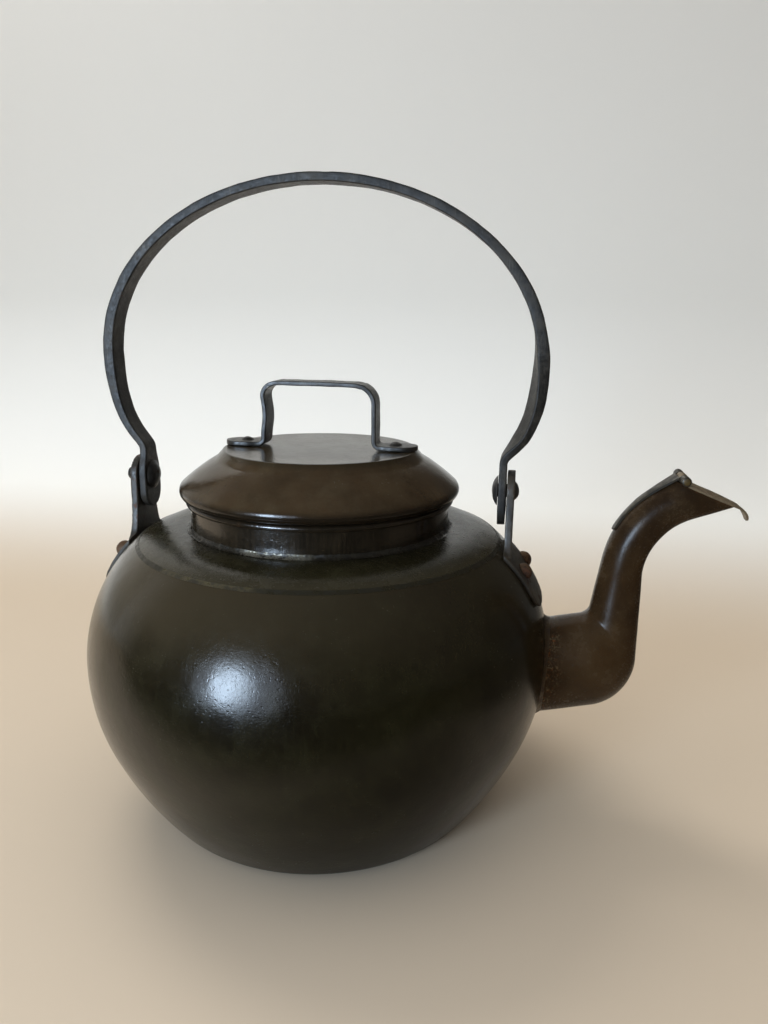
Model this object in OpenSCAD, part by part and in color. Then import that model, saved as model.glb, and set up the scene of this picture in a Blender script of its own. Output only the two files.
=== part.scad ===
// Copper coffee pot with a swing handle, a lift-off lid and a flap on the spout.
// Millimetres. +Z is up, +X is the side of the spout, and the origin is the
// centre of the flat base, on the surface that the pot stands on.

/* [Body] */
// Outer radius of the body at its widest
body_r = 145; // [125:1:165]
// Height of the widest place above the base
belly_z = 103; // [90:1:115]
// Radius of the wall's curve just below the widest place
belly_curve_r = 128; // [110:1:140]
// How far that curve goes before the flatter flank starts, in degrees
belly_curve_angle = 24; // [18:1:30]
// Radius of the flank's curve
flank_r = 240; // [200:5:300]
// Radius of the corner between flank and base
base_corner_r = 15; // [8:1:20]
// Radius of the wall's curve above the widest place
crown_curve_r = 90; // [80:1:100]
// Where that curve ends at the brazed seam, in degrees above level
seam_angle = 50; // [46:0.5:56]
// Thickness of the copper sheet of the body
wall = 1.6; // [1.2:0.1:2.5]

/* [Shoulder and neck] */
// How far the neck's outside lies inside the body's widest place
neck_inset = 65; // [60:1:75]
// Height of the neck's foot above the seam
shoulder_rise = 6.5; // [4:0.5:12]
// How far the level land under the neck reaches past its tin fillet
neck_land = 1.2; // [0.5:0.1:3]
// How far the shoulder bulges above a straight line
shoulder_bulge = 2; // [0.5:0.5:3]
// Height of the neck from its foot to the top of its rolled rim
neck_h = 19; // [15:1:30]
// Thickness of the neck's sheet
neck_wall = 1.2; // [0.8:0.1:1.6]
// Radius of the rolled rim's section
rim_roll_r = 2; // [1.8:0.1:3]
// Radius of the wire inside the rolled rim
rim_wire_r = 1.1; // [0.7:0.1:1.1]
// Width of the braze between bowl and shoulder
braze_w = 1.6; // [1:0.1:3]
// How far the braze stands proud
braze_proud = 0.2; // [0.1:0.05:0.5]
// Size of the tin fillet at the foot of the neck
neck_fillet = 2.6; // [1.5:0.1:3.5]

/* [Spout] */
// How far the centre of the spout's root lies below the body's widest place
spout_root_drop = 9; // [3:0.5:15]
// Height of the root's oval
spout_root_h = 60.5; // [54:0.5:68]
// Width of the root's oval
spout_root_w = 54; // [44:1:58]
// Width where the root's stretch ends and the bend starts
elbow_w = 50; // [38:1:54]
// Rise of the root's stretch, in degrees
spout_root_angle = 13; // [8:1:16]
// How far the outside of the upright stretch lies past the body's widest place
spout_riser_gap = 52.5; // [47:0.5:59]
// Bore of the upright stretch, measured outside
spout_riser_d = 26.5; // [23:0.5:30]
// Height above the body's widest place at which both are measured
spout_riser_rise = 47; // [43:1:51]
// Forward lean of the upright stretch, in degrees
spout_riser_lean = 4; // [1:0.5:8]
// How much each of its sides leans in, in degrees
spout_riser_taper = 4.8; // [1:0.2:5]
// Outer bend at the foot of the upright stretch
elbow_outer_r = 33.5; // [24:0.5:38]
// Inner bend at the foot of the upright stretch
elbow_inner_r = 8; // [4:0.5:12]
// Inner bend of the goose neck, under the spout's head
head_inner_r = 39; // [30:1:44]
// Outer bend of the goose neck, on the back of the spout's head
head_outer_r = 66; // [56:1:72]
// Rise of the back at the hinge, in degrees
head_back_angle = 32; // [28:1:36]
// Rise of the underside of the beak, in degrees
beak_angle = 20.5; // [16:0.5:25]
// How far the pouring lip reaches past the outside of the upright stretch
lip_reach = 47.5; // [43:0.5:52]
// Height of the pouring lip above the body's widest place
lip_rise = 99; // [96:0.5:103]
// Downward slope of the mouth, in degrees
mouth_angle = 22; // [18:1:26]
// Width of the beak where the goose neck ends
beak_w = 25; // [21:0.5:27]
// Width that the beak would narrow to just past the lip
beak_tip_w = 14; // [8:0.5:18]
// Thickness of the spout's sheet
spout_wall = 1.2; // [0.8:0.1:1.6]
// Radius of the hole in the bowl behind the spout
spout_hole_r = 22; // [16:1:24]
// Size of the solder fillet at the root
root_fillet = 3; // [1.5:0.1:5]

/* [Spout flap and hinge] */
// How far the hinge pin lies behind the pouring lip
pin_back = 30.5; // [27:0.5:32]
// Outer radius of the hinge knuckles
knuckle_r = 2.7; // [2.2:0.1:3.4]
// Radius of the hinge pin
pin_r = 1.25; // [0.9:0.05:1.5]
// Whole width of the hinge
hinge_w = 28; // [24:1:32]
// Width of the flap's own knuckle
flap_knuckle_w = 10; // [6:0.5:14]
// Gap between neighbouring knuckles
knuckle_gap = 0.4; // [0.3:0.05:0.8]
// Thickness of the flap and of its fixed leaf
leaf_t = 1.2; // [0.8:0.1:1.6]
// Width of the flap at the hinge
flap_w = 22.5; // [18:0.5:27]
// Width of the curled tip
tip_w = 7; // [4:0.5:10]
// Length of the curled tip past the lip
tip_len = 10; // [7:0.5:14]
// How far the curled tip turns down, in degrees
tip_curl = 60; // [30:5:70]
// Length of the fixed leaf along the spout's back
saddle_len = 50; // [36:1:58]
// Width of the fixed leaf at the hinge
saddle_w = 16; // [14:0.5:20]
// Width of the fixed leaf's waist, from which it widens to the hinge
saddle_waist_w = 8; // [6:0.5:12]
// Width of the fixed leaf's tail
saddle_tail_w = 7; // [5:0.5:12]

/* [Ears] */
// How far an ear's inner face lies inside the body's widest place
ear_inset = 28.6; // [26:0.1:31]
// How far the ears and the handle are set back from the pot's axis
ear_shift = 1.2; // [0:0.1:2.5]
// Height of the pivots above the body's widest place
pivot_rise = 102; // [97:1:109]
// Thickness of an ear's tab
ear_t = 4.5; // [3.5:0.1:5.5]
// Radius of the rounded top of the tab
ear_top_r = 12.5; // [11:0.5:14]
// Half the width of the tab where it meets the foot
ear_base_half = 20; // [16:0.5:24]
// Half the width of the foot
foot_half = 23; // [20:0.5:28]
// How much wider the rear ear's foot is on each side
rear_foot_more = 4.5; // [0:0.5:6]
// Radius of the foot's lower corners
foot_corner_r = 7; // [3:0.5:10]
// Height of the foot's lower end above the body's widest place
foot_rise = 36; // [31:1:43]
// Thickness of the foot
foot_t = 2.4; // [1.8:0.1:3.2]
// Height of the foot's rivets above its lower end
foot_rivet_rise = 18.5; // [13:0.5:22]
// Distance between the foot's two rivets
foot_rivet_gap = 25; // [20:0.5:30]

/* [Rivets] */
// Shank radius of an ear rivet
ear_rivet_r = 2.6; // [2:0.1:3.5]
// Head radius of an ear rivet
ear_rivet_head_r = 5.2; // [4.5:0.1:6.5]
// Head height of an ear rivet
ear_rivet_head_h = 4.2; // [2:0.1:5]
// Shank radius of a handle pivot
pivot_r = 4; // [3:0.1:5]
// Radius of a pivot's broad inner head
pivot_head_r = 9.2; // [7.5:0.1:10.5]
// Height of that inner head
pivot_head_h = 3.6; // [2.5:0.1:6]
// Radius of a pivot's peened outer end
pivot_peen_r = 6; // [5.5:0.1:7.5]
// Height of that outer end
pivot_peen_h = 2.8; // [2:0.1:4]
// How far the rear pivot's shank stands out past its peened end
pivot_stub = 3.4; // [1:0.1:6]
// Shank radius of a lid rivet
lid_rivet_r = 2; // [1.5:0.1:2.5]
// Head radius of a lid rivet
lid_rivet_head_r = 4; // [3.2:0.1:5]
// Head height of a lid rivet
lid_rivet_head_h = 1.8; // [1.2:0.1:2.5]
// Thickness of a rove, the washer under a peened end
rove_t = 1; // [0.8:0.1:1.6]

/* [Swing handle] */
// Height of the outside of the handle's crown above the pivots
bail_top_rise = 179.5; // [165:0.5:195]
// Height above the pivots at which the handle is widest
bail_wide_rise = 77; // [67:1:87]
// How far the handle's outside there lies outside the ears' inner faces
bail_spread = 19.6; // [12:0.1:25]
// Width of the strap
bail_w = 14.5; // [13:0.5:20]
// Thickness of the strap at the crown
bail_crown_t = 5.4; // [4.5:0.1:6.5]
// Thickness of the strap at its sides
bail_side_t = 7.2; // [6:0.1:8.5]
// Thickness of the flattened ends
bail_end_t = 5; // [3.5:0.1:6]
// Half the width of the flattened ends
bail_end_half = 10.5; // [9:0.5:12]
// Length of a flattened end below the pivot
bail_tail = 21; // [17:0.5:24]
// Length of a flattened end above the pivot
bail_neck = 17; // [14:0.5:20]
// How slowly the handle draws in below its widest place
bail_hip = 48; // [36:1:54]
// How slowly it straightens above a flattened end
bail_heel = 8; // [4:0.5:12]

/* [Lid] */
// How far the edge of the lid's flat top lies inside the neck's outside
lid_inset = 20; // [16:0.5:26]
// Height of the lid's flat top above the neck's rim
lid_h = 28.7; // [25:0.1:34]
// Width of the stepped edge
step_w = 4; // [2.5:0.5:6]
// Height of the stepped edge
step_h = 5.5; // [3:0.5:7]
// How far the lid overhangs the neck
lid_overhang = 6.2; // [5.2:0.1:9]
// Height of the lid's widest place above the neck's rim
lid_rim_h = 4.8; // [4.2:0.1:6]
// How far the lid's slope bulges outward
lid_bulge = 0.7; // [0.5:0.1:2]
// Radius of the edge round the flat top
lid_edge_r = 1.5; // [1:0.1:2.5]
// Thickness of the lid's sheet
lid_wall = 1; // [0.8:0.1:1.4]
// Depth of the collar inside the neck
collar_depth = 16; // [10:1:22]
// Thickness of the collar
collar_wall = 0.8; // [0.6:0.1:1.2]

/* [Lid handle] */
// Height of the strap above the lid's flat top
grip_h = 40.5; // [34:0.5:46]
// How far a leg stands in from the edge of the flat top
grip_inset = 24; // [22:0.5:30]
// Width of the strap
grip_w = 16; // [12:0.5:18]
// Thickness of the strap
grip_t = 3; // [2:0.1:3.6]
// Outer radius of the strap's upper corners
grip_corner_r = 14; // [7:0.5:16]
// Inner radius of the bend between leg and foot
grip_bend_r = 2; // [1:0.1:3]
// Radius of the rounded end of a foot
grip_foot_r = 9.5; // [8.5:0.5:11]
// Length of a foot past its leg
grip_foot_len = 24.5; // [22:0.5:25.5]
// Distance from a leg to the rivet in its foot
lid_rivet_gap = 11; // [9:0.5:12]

/* [Fits] */
// Room between the bail and what it swings against
swing_gap = 0.35; // [0.3:0.05:0.6]
// Radial room of the bail's holes on their pivots
pivot_play = 0.08; // [0.03:0.01:0.1]
// Radial room of the flap's knuckle on its pin
pin_play = 0.06; // [0.03:0.01:0.1]
// Radial room of fixed rivets, pins and wires in their holes
fixed_play = 0.02; // [0.01:0.01:0.05]
// Room between curved pieces that lie on each other
seat = 0.1; // [0.05:0.05:0.2]
// Room under the lid and under the flap when closed
lid_seat = 0.25; // [0.15:0.05:0.4]
// Radial room of the lid's collar in the neck
collar_play = 0.7; // [0.4:0.1:1.2]

/* [Hidden] */
$fn = 96;

// Number of points round the spout
ring_n = 32;
// Length that a cut reaches past what it cuts
past = 1;
// Larger than any piece, for cuts that go all the way
big = 300;

copper = [0.47, 0.30, 0.20];
bronze = [0.38, 0.33, 0.24];
tin = [0.72, 0.70, 0.64];
iron = [0.20, 0.20, 0.21];
rust = [0.36, 0.20, 0.14];
brass = [0.66, 0.56, 0.36];

// ---- Curves

// Direction at an angle from the first axis
function toward(a) = [cos(a), sin(a)];
function unit(v) = v / norm(v);
// A direction turned a quarter to the left
function left(v) = [-v[1], v[0]];
function turned(v, a) = [v[0] * cos(a) - v[1] * sin(a), v[0] * sin(a) + v[1] * cos(a)];
function last(p) = p[len(p) - 1];
function after_first(p) = [for (i = [1:len(p) - 1]) p[i]];
function backwards(p) = [for (i = [len(p) - 1:-1:0]) p[i]];
function mirrored(p) = [for (q = backwards(p)) [-q[0], q[1]]];
function mix(a, b, t) = a + (b - a) * t;
// A share that starts and ends gently
function ease(t) = t * t * (3 - 2 * t);

function arc(c, r, a0, a1, n) = [for (i = [0:n]) c + r * toward(mix(a0, a1, i / n))];
function bezier2(a, b, c, n) =
    [for (i = [0:n]) mix(mix(a, b, i / n), mix(b, c, i / n), i / n)];
function bezier3(a, b, c, d, n) =
    [for (i = [0:n]) mix(bezier2(a, b, c, n)[i], bezier2(b, c, d, n)[i], i / n)];
// The n points from just after a to b
function steps(a, b, n) = [for (i = [1:n]) mix(a, b, i / n)];
// Where the line through a along u meets the line through b along v
function meeting(a, u, b, v) = a + u * cross(b - a, v) / cross(u, v);
// The round of radius r that replaces the corner b of the line a, b, c
function rounded(a, b, c, r, n) =
    let (u = unit(b - a))
    let (v = unit(c - b))
    let (turn = acos(u * v))
    let (side = cross(u, v) > 0 ? 1 : -1)
    let (start = b - u * r * tan(turn / 2))
    let (middle = start + left(u) * r * side)
    [for (i = [0:n]) middle + turned(start - middle, side * turn * i / n)];
// An open line moved to its left by d, with mitred corners
function way_in(p, i) = unit(i > 0 ? p[i] - p[i - 1] : p[1] - p[0]);
function way_out(p, i) = unit(i < len(p) - 1 ? p[i + 1] - p[i] : p[i] - p[i - 1]);
function moved(p, d) = [
    for (i = [0:len(p) - 1])
        let (a = left(way_in(p, i)))
        let (b = left(way_out(p, i)))
        p[i] + d * (a + b) / (1 + a * b)
];

// ---- Body

neck_r = body_r - neck_inset;
belly_c = [body_r - belly_curve_r, belly_z];
flank_c = belly_c - (flank_r - belly_curve_r) * toward(-belly_curve_angle);
flank_end = asin((flank_c[1] - base_corner_r) / (flank_r - base_corner_r));
corner_c = flank_c + (flank_r - base_corner_r) * toward(-flank_end);
crown_c = [body_r - crown_curve_r, belly_z];
crown_n = 11;
braze_angle = braze_w / crown_curve_r * 180 / PI;
shoulder_start = crown_c + crown_curve_r * toward(seam_angle + braze_angle);
neck_z = shoulder_start[1] + shoulder_rise;
neck_top = neck_z + neck_h;
neck_in_r = neck_r - neck_wall;

// The body's wall from the flat base to the seam, moved outward by d
function crown_line(d) = arc(crown_c, crown_curve_r + d, 0, seam_angle, crown_n);
function body_line(d) = concat(
    arc(corner_c, base_corner_r + d, -90, -flank_end, 5),
    after_first(arc(flank_c, flank_r + d, -flank_end, -belly_curve_angle, 3)),
    after_first(arc(belly_c, belly_curve_r + d, -belly_curve_angle, 0, 5)),
    after_first(crown_line(d))
);

// Radius of the body at a height, moved outward by d
function round_at(c, r, z) = c[0] + sqrt(r * r - (z - c[1]) * (z - c[1]));
function body_at(z, d) =
    z > belly_z ? round_at(crown_c, crown_curve_r + d, z)
    : z > belly_z - belly_curve_r * sin(belly_curve_angle)
        ? round_at(belly_c, belly_curve_r + d, z)
    : round_at(flank_c, flank_r + d, z);

module bowl() {
    color(copper)
    difference() {
        rotate_extrude()
            polygon(concat([[0, 0]], body_line(0), backwards(body_line(-wall)), [[0, wall]]));
        translate([body_at(spout_root_z, 0), 0, spout_root_z])
            rotate([0, 90 - spout_root_angle, 0])
            cylinder(r = spout_hole_r, h = spout_root_h, center = true);
        for (end = [0, 1], side = [-1, 1])
            at_foot_rivet(end, side)
            cylinder(r = ear_rivet_r + fixed_play, h = crown_curve_r + past);
    }
}

module shoulder() {
    land = [neck_r + neck_fillet + neck_land, neck_z];
    chord = land - shoulder_start;
    top = mix(shoulder_start, land, 0.5) - left(unit(chord)) * 2 * shoulder_bulge;
    outside = concat(bezier2(shoulder_start, top, land, 9), [[neck_r, neck_z]]);
    inner_start = crown_c + (crown_curve_r - wall) * toward(seam_angle + braze_angle);
    inside = concat([inner_start], after_first(moved(outside, wall)));
    color(bronze)
    rotate_extrude()
        polygon(concat(outside, backwards(inside)));
}

module shoulder_braze() {
    a0 = seam_angle;
    a1 = seam_angle + braze_angle;
    color(brass)
    rotate_extrude()
        polygon(concat(
            arc(crown_c, crown_curve_r + braze_proud, a0, a1, 2),
            arc(crown_c, crown_curve_r - wall - braze_proud, a1, a0, 2)
        ));
}

// ---- Neck

roll_c = [neck_in_r + rim_roll_r, neck_top - rim_roll_r];
flange_z = neck_z - wall;

module neck() {
    color(copper)
    rotate_extrude()
    difference() {
        union() {
            translate([neck_in_r, flange_z - neck_wall])
                square([neck_wall, roll_c[1] - flange_z + neck_wall]);
            translate([neck_in_r, flange_z - neck_wall])
                square([neck_wall + neck_fillet, neck_wall]);
            translate(roll_c)
                circle(r = rim_roll_r);
        }
        translate(roll_c)
            circle(r = rim_wire_r + fixed_play);
    }
}

module rim_wire() {
    color(iron)
    rotate_extrude()
        translate(roll_c)
        circle(r = rim_wire_r);
}

module neck_solder() {
    f = neck_fillet;
    color(tin)
    rotate_extrude()
        polygon(concat([[neck_r, neck_z]], arc([neck_r + f, neck_z + f], f, 270, 180, 5)));
}

// ---- Spout

spout_root_z = belly_z - spout_root_drop;
spout_riser_x = body_r + spout_riser_gap;
lip_x = spout_riser_x + lip_reach;
lip_z = belly_z + lip_rise;

// Hinge pin, from the slope of the mouth. The mouth's own frame starts at the
// lip, with its first axis down the slope and its third axis square to it.
pin_x = lip_x - pin_back;
pin_n = lid_seat + knuckle_r;
pin_u = (pin_x - lip_x - pin_n * sin(mouth_angle)) / cos(mouth_angle);
pin_z = lip_z - pin_u * sin(mouth_angle) + pin_n * cos(mouth_angle);

// Corners of the spout's two side lines, in the plane through the pot's axis.
// The back line passes the pin so that the leaf on it ends in the knuckles.
root_way = toward(spout_root_angle);
back_way = toward(head_back_angle);
riser_back_way = toward(90 - spout_riser_lean - spout_riser_taper);
riser_front_way = toward(90 - spout_riser_lean + spout_riser_taper);
beak_way = toward(beak_angle);
root_top_z = spout_root_z + spout_root_h / 2;
root_low_z = spout_root_z - spout_root_h / 2;
root_top = [body_at(root_top_z, seat), root_top_z];
root_low = [body_at(root_low_z, seat), root_low_z];
riser_front = [spout_riser_x, belly_z + spout_riser_rise];
riser_back = riser_front - [spout_riser_d, 0];
lip = [lip_x, lip_z];
pin = [pin_x, pin_z];
back_end = pin + left(back_way) * (knuckle_r - leaf_t - seat);
beak_past = 15;
back_corners = [
    root_top,
    meeting(root_top, root_way, riser_back, riser_back_way),
    meeting(riser_back, riser_back_way, back_end, back_way),
    back_end + back_way * 2 * beak_past,
];
front_corners = [
    root_low,
    meeting(root_low, root_way, riser_front, riser_front_way),
    meeting(riser_front, riser_front_way, lip, beak_way),
    lip + beak_way * beak_past,
];

// Numbers of steps along the root's stretch, the elbow, the upright stretch,
// the goose neck and the beak
root_n = 2;
elbow_n = 6;
riser_n = 3;
head_n = 9;
beak_n = 4;
elbow_at = 1 + root_n;
riser_at = elbow_at + elbow_n;
head_at = riser_at + riser_n;
beak_at = head_at + head_n;
end_at = beak_at + beak_n;

function side_line(p, elbow_r, head_r) =
    let (elbow = rounded(p[0], p[1], p[2], elbow_r, elbow_n))
    let (head = rounded(p[1], p[2], p[3], head_r, head_n))
    let (fillet_end = p[0] + unit(p[1] - p[0]) * root_fillet)
    concat(
        [p[0], fillet_end],
        steps(fillet_end, elbow[0], root_n),
        after_first(elbow),
        steps(last(elbow), head[0], riser_n),
        after_first(head),
        steps(last(head), p[3], beak_n)
    );
back_line = side_line(back_corners, elbow_inner_r, head_outer_r);
front_line = side_line(front_corners, elbow_outer_r, head_inner_r);

function half_width(i) =
    i <= elbow_at ? mix(spout_root_w, elbow_w, i / elbow_at) / 2
    : i <= head_at ? mix(elbow_w, spout_riser_d, ease((i - elbow_at) / (head_at - elbow_at))) / 2
    : i <= beak_at ? mix(spout_riser_d, beak_w, (i - head_at) / head_n) / 2
    : mix(beak_w, beak_tip_w, (i - beak_at) / beak_n) / 2;

// A point of the spout's surface: ring i, the angle a from the back line, moved
// outward by d. The first ring lies on the body.
function on_root(half_h, half_w, a) =
    let (z = spout_root_z + half_h * cos(a))
    let (y = half_w * sin(a))
    let (r = body_at(z, seat))
    [sqrt(r * r - y * y), y, z];
function on_spout(i, a, d) =
    i == 0 ? on_root(spout_root_h / 2 + d, spout_root_w / 2 + d, a)
    : let (middle = (back_line[i] + front_line[i]) / 2)
      let (reach = back_line[i] - front_line[i])
      let (p = middle + unit(reach) * (norm(reach) / 2 + d) * cos(a))
      [p[0], (half_width(i) + d) * sin(a), p[1]];
function ring(i, d) = [for (k = [0:ring_n - 1]) on_spout(i, 360 * k / ring_n, d)];

// Two triangles for each of the faces between the rings that start at a and b
function band(a, b) = [
    for (k = [0:ring_n - 1])
        let (m = (k + 1) % ring_n)
        each [[a + k, b + k, b + m], [a + k, b + m, a + m]]
];

// The same faces seen from their other side
function flipped(faces) = [for (f = faces) backwards(f)];

module spout() {
    rings = end_at + 1;
    inner = rings * ring_n;
    points = concat(
        [for (i = [0:end_at]) each ring(i, 0)],
        [for (i = [0:end_at]) each ring(i, -spout_wall)]
    );
    faces = concat(
        [for (i = [0:end_at - 1]) each band(i * ring_n, (i + 1) * ring_n)],
        [for (i = [0:end_at - 1]) each band(inner + (i + 1) * ring_n, inner + i * ring_n)],
        band(inner, 0),
        band(end_at * ring_n, inner + end_at * ring_n)
    );
    color(copper)
    difference() {
        polyhedron(points, faces);
        in_mouth_frame()
            translate([-big / 2, -big / 2, 0])
            cube(big);
    }
}

// A ring of solder between the body and the first stretch of the spout
module spout_solder() {
    wide = root_fillet + seat;
    points = concat(ring(0, seat), ring(1, seat), [
        for (k = [0:ring_n - 1])
            on_root(spout_root_h / 2 + wide, spout_root_w / 2 + wide, 360 * k / ring_n)
    ]);
    color(tin)
    polyhedron(points, concat(
        flipped(band(0, ring_n)),
        band(2 * ring_n, ring_n),
        band(0, 2 * ring_n)
    ));
}

// Places its children in the mouth's own frame
module in_mouth_frame() {
    translate([lip_x, 0, lip_z])
        rotate([0, mouth_angle, 0])
        children();
}

// Draws a flat shape of the plane through the pot's axis, w wide
module across(w) {
    rotate([90, 0, 0])
        linear_extrude(w, center = true)
        children();
}

// A rod along Y at a point of that plane
module rod(p, r, w) {
    translate([p[0], 0, p[1]])
        rotate([90, 0, 0])
        cylinder(r = r, h = w, center = true);
}

// ---- Hinge and flap

outer_knuckle_y = flap_knuckle_w / 2 + knuckle_gap;
back_bend = rounded(back_corners[1], back_corners[2], back_corners[3], head_outer_r, head_n);
back_bend_c = last(back_bend) - left(back_way) * head_outer_r;
saddle_straight = norm(back_end - last(back_bend));
saddle_bend = (saddle_len - saddle_straight) / head_outer_r * 180 / PI;
saddle_waist_at = 0.7;

// The fixed leaf's line, moved outward from the spout's back by d
function saddle_line(d) = concat(
    arc(back_bend_c, head_outer_r + d, 90 + head_back_angle + saddle_bend,
        90 + head_back_angle, 9),
    [back_end + left(back_way) * d]
);

module flap_saddle() {
    tail_x = saddle_line(seat + leaf_t)[0][0];
    flank = bezier2([tail_x, saddle_tail_w / 2],
        [mix(tail_x, pin_x, saddle_waist_at), saddle_waist_w / 2], [pin_x, saddle_w / 2], 8);
    color(tin)
    difference() {
        union() {
            intersection() {
                across(saddle_w)
                    polygon(concat(saddle_line(seat + leaf_t), backwards(saddle_line(seat))));
                linear_extrude(big)
                    polygon(concat(flank, [for (q = backwards(flank)) [q[0], -q[1]]]));
            }
            rod(pin, knuckle_r, hinge_w);
        }
        translate([pin_x - knuckle_r - knuckle_gap, -outer_knuckle_y, 0])
            cube([big, 2 * outer_knuckle_y, big]);
        rod(pin, pin_r + fixed_play, hinge_w + 2 * past);
    }
}

pin_head_h = 0.6;
pin_head_rim = 0.6;

module flap_pin() {
    color(brass) {
        rod(pin, pin_r, hinge_w + 2 * pin_head_h);
        for (side = [-1, 1])
            translate([0, side * (hinge_w + pin_head_h + seat) / 2, 0])
            rod(pin, pin_r + pin_head_rim, pin_head_h - seat);
    }
}

module spout_flap() {
    tip_r = tip_len / (2 * sin(tip_curl / 2));
    low = lid_seat;
    plate_u = pin_u + knuckle_r + knuckle_gap;
    tip_u = tip_r * sin(tip_curl);
    shape = concat(
        [[plate_u, low]],
        arc([0, low - tip_r], tip_r, 90, 90 - tip_curl, 6),
        arc([0, low - tip_r], tip_r + leaf_t, 90 - tip_curl, 90, 6),
        [[plate_u, low + leaf_t]]
    );
    edge = bezier3([plate_u, flap_w / 2], [mix(plate_u, 0, 0.6), flap_w / 2],
        [0, flap_w / 2 - 2], [tip_u + leaf_t, tip_w / 2], 10);
    color(tin)
    in_mouth_frame()
    difference() {
        union() {
            intersection() {
                across(flap_w)
                    polygon(shape);
                translate([0, 0, -tip_len])
                    linear_extrude(2 * tip_len)
                    polygon(concat(edge, [for (q = backwards(edge)) [q[0], -q[1]]]));
            }
            rod([pin_u, pin_n], knuckle_r, flap_knuckle_w);
            translate([pin_u, -flap_knuckle_w / 2, low])
                cube([plate_u - pin_u + past, flap_knuckle_w, leaf_t]);
        }
        rod([pin_u, pin_n], pin_r + pin_play, flap_w);
    }
}

// ---- Domed heads

// A dome of the given base radius and height, on the plane z = 0
module dome(r, h) {
    ball_r = (r * r + h * h) / (2 * h);
    intersection() {
        translate([0, 0, h - ball_r])
            sphere(r = ball_r);
        cylinder(r = r, h = h);
    }
}

// A washer whose upper face lies on the plane z = 0
module rove(r, hole_r) {
    translate([0, 0, -rove_t])
    difference() {
        cylinder(r = r, h = rove_t);
        translate([0, 0, -past])
            cylinder(r = hole_r + fixed_play, h = rove_t + 2 * past);
    }
}

// ---- Ears

ear_half = body_r - ear_inset;
pivot_z = belly_z + pivot_rise;
foot_z = belly_z + foot_rise;
foot_rivet_z = foot_z + foot_rivet_rise;
foot_out_r = crown_curve_r + seat + foot_t;
foot_rivet_angle = asin((foot_rivet_z - belly_z) / crown_curve_r);
function foot_rivet_turn(end) =
    asin((foot_rivet_gap / 2 + end * rear_foot_more) / body_at(foot_rivet_z, 0));
foot_rove_at = crown_curve_r - wall - seat
    - ear_rivet_head_r * ear_rivet_head_r / (2 * (crown_curve_r - wall));
peen_h = 1.2;
peen_rim = 1;

// Places its children on a foot rivet's axis, with Z square to the wall and
// the wall's outer face at z = crown_curve_r. end is 0 in front and 1 behind.
module at_foot_rivet(end, side) {
    rotate([0, 0, end * 180 + side * foot_rivet_turn(end)])
        translate([crown_c[0], 0, crown_c[1]])
        rotate([0, 90 - foot_rivet_angle, 0])
        children();
}

// Draws a flat shape as seen along X, from x on and t thick
module along_x(x, t) {
    translate([x, 0, 0])
        rotate([90, 0, 90])
        linear_extrude(t)
        children();
}

// An ear on the side of the spout, with the foot of the given end. Its tab's
// inner face lies x from the pot's axis.
module ear(end, x) {
    half = foot_half + end * rear_foot_more;
    half_low = half - foot_corner_r;
    ear_foot_z = belly_z + sqrt(pow(foot_out_r, 2) - pow(x + ear_t - crown_c[0], 2));
    tab_side = bezier3([ear_base_half, ear_foot_z], [ear_top_r + 2, ear_foot_z + 3],
        [ear_top_r, ear_foot_z + 14], [ear_top_r, pivot_z], 7);
    difference() {
        union() {
            along_x(x, ear_t)
                polygon(concat(
                    [[ear_base_half, ear_foot_z - 2 * foot_t]],
                    tab_side,
                    arc([0, pivot_z], ear_top_r, 0, 180, 12),
                    mirrored(tab_side),
                    [[-ear_base_half, ear_foot_z - 2 * foot_t]]
                ));
            intersection() {
                rotate_extrude()
                    polygon(concat(crown_line(seat + foot_t), backwards(crown_line(seat))));
                along_x(x, big)
                    polygon(concat(
                        [[half, pivot_z], [-half, pivot_z]],
                        arc([-half_low, foot_z + foot_corner_r], foot_corner_r, 180, 270, 4),
                        arc([half_low, foot_z + foot_corner_r], foot_corner_r, 270, 360, 4)
                    ));
            }
        }
        rotate_extrude()
            polygon(concat(crown_line(seat), [[0, last(crown_line(seat))[1]], [0, belly_z]]));
        translate([x - past, 0, pivot_z])
            rotate([0, 90, 0])
            cylinder(r = pivot_r + fixed_play, h = ear_t + 2 * past);
        for (side = [-1, 1])
            rotate([0, 0, end * 180])
            at_foot_rivet(end, side)
            cylinder(r = ear_rivet_r + fixed_play, h = foot_out_r + past);
    }
}

module ear_front() {
    color(iron)
        ear(0, ear_half - ear_shift);
}

module ear_rear() {
    color(iron)
        mirror([1, 0, 0])
        ear(1, ear_half + ear_shift);
}

module ear_rivets(end) {
    head_at = foot_out_r + seat;
    peen_at = foot_rove_at - rove_t;
    color(rust)
    for (side = [-1, 1])
        at_foot_rivet(end, side) {
            translate([0, 0, head_at])
                dome(ear_rivet_head_r, ear_rivet_head_h);
            translate([0, 0, peen_at])
                cylinder(r = ear_rivet_r, h = head_at - peen_at);
            translate([0, 0, peen_at])
                rotate([180, 0, 0])
                dome(ear_rivet_r + peen_rim, peen_h);
        }
}

module ear_roves(end) {
    color(copper)
    for (side = [-1, 1])
        at_foot_rivet(end, side)
        translate([0, 0, foot_rove_at])
        rove(ear_rivet_head_r, ear_rivet_r);
}

// A pivot whose shank ends stub past the peened end. end is 0 in front and 1 behind.
module pivot(end, stub) {
    inner_x = ear_half - 2 * swing_gap - bail_end_t;
    outer_x = ear_half + ear_t;
    color(iron)
    translate([-ear_shift, 0, pivot_z])
    rotate([0, 90, end * 180]) {
        translate([0, 0, inner_x])
            cylinder(r = pivot_r, h = outer_x + pivot_peen_h + stub - inner_x);
        translate([0, 0, inner_x])
            rotate([180, 0, 0])
            dome(pivot_head_r, pivot_head_h);
        translate([0, 0, outer_x])
            dome(pivot_peen_r, pivot_peen_h);
    }
}

// ---- Swing handle

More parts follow.
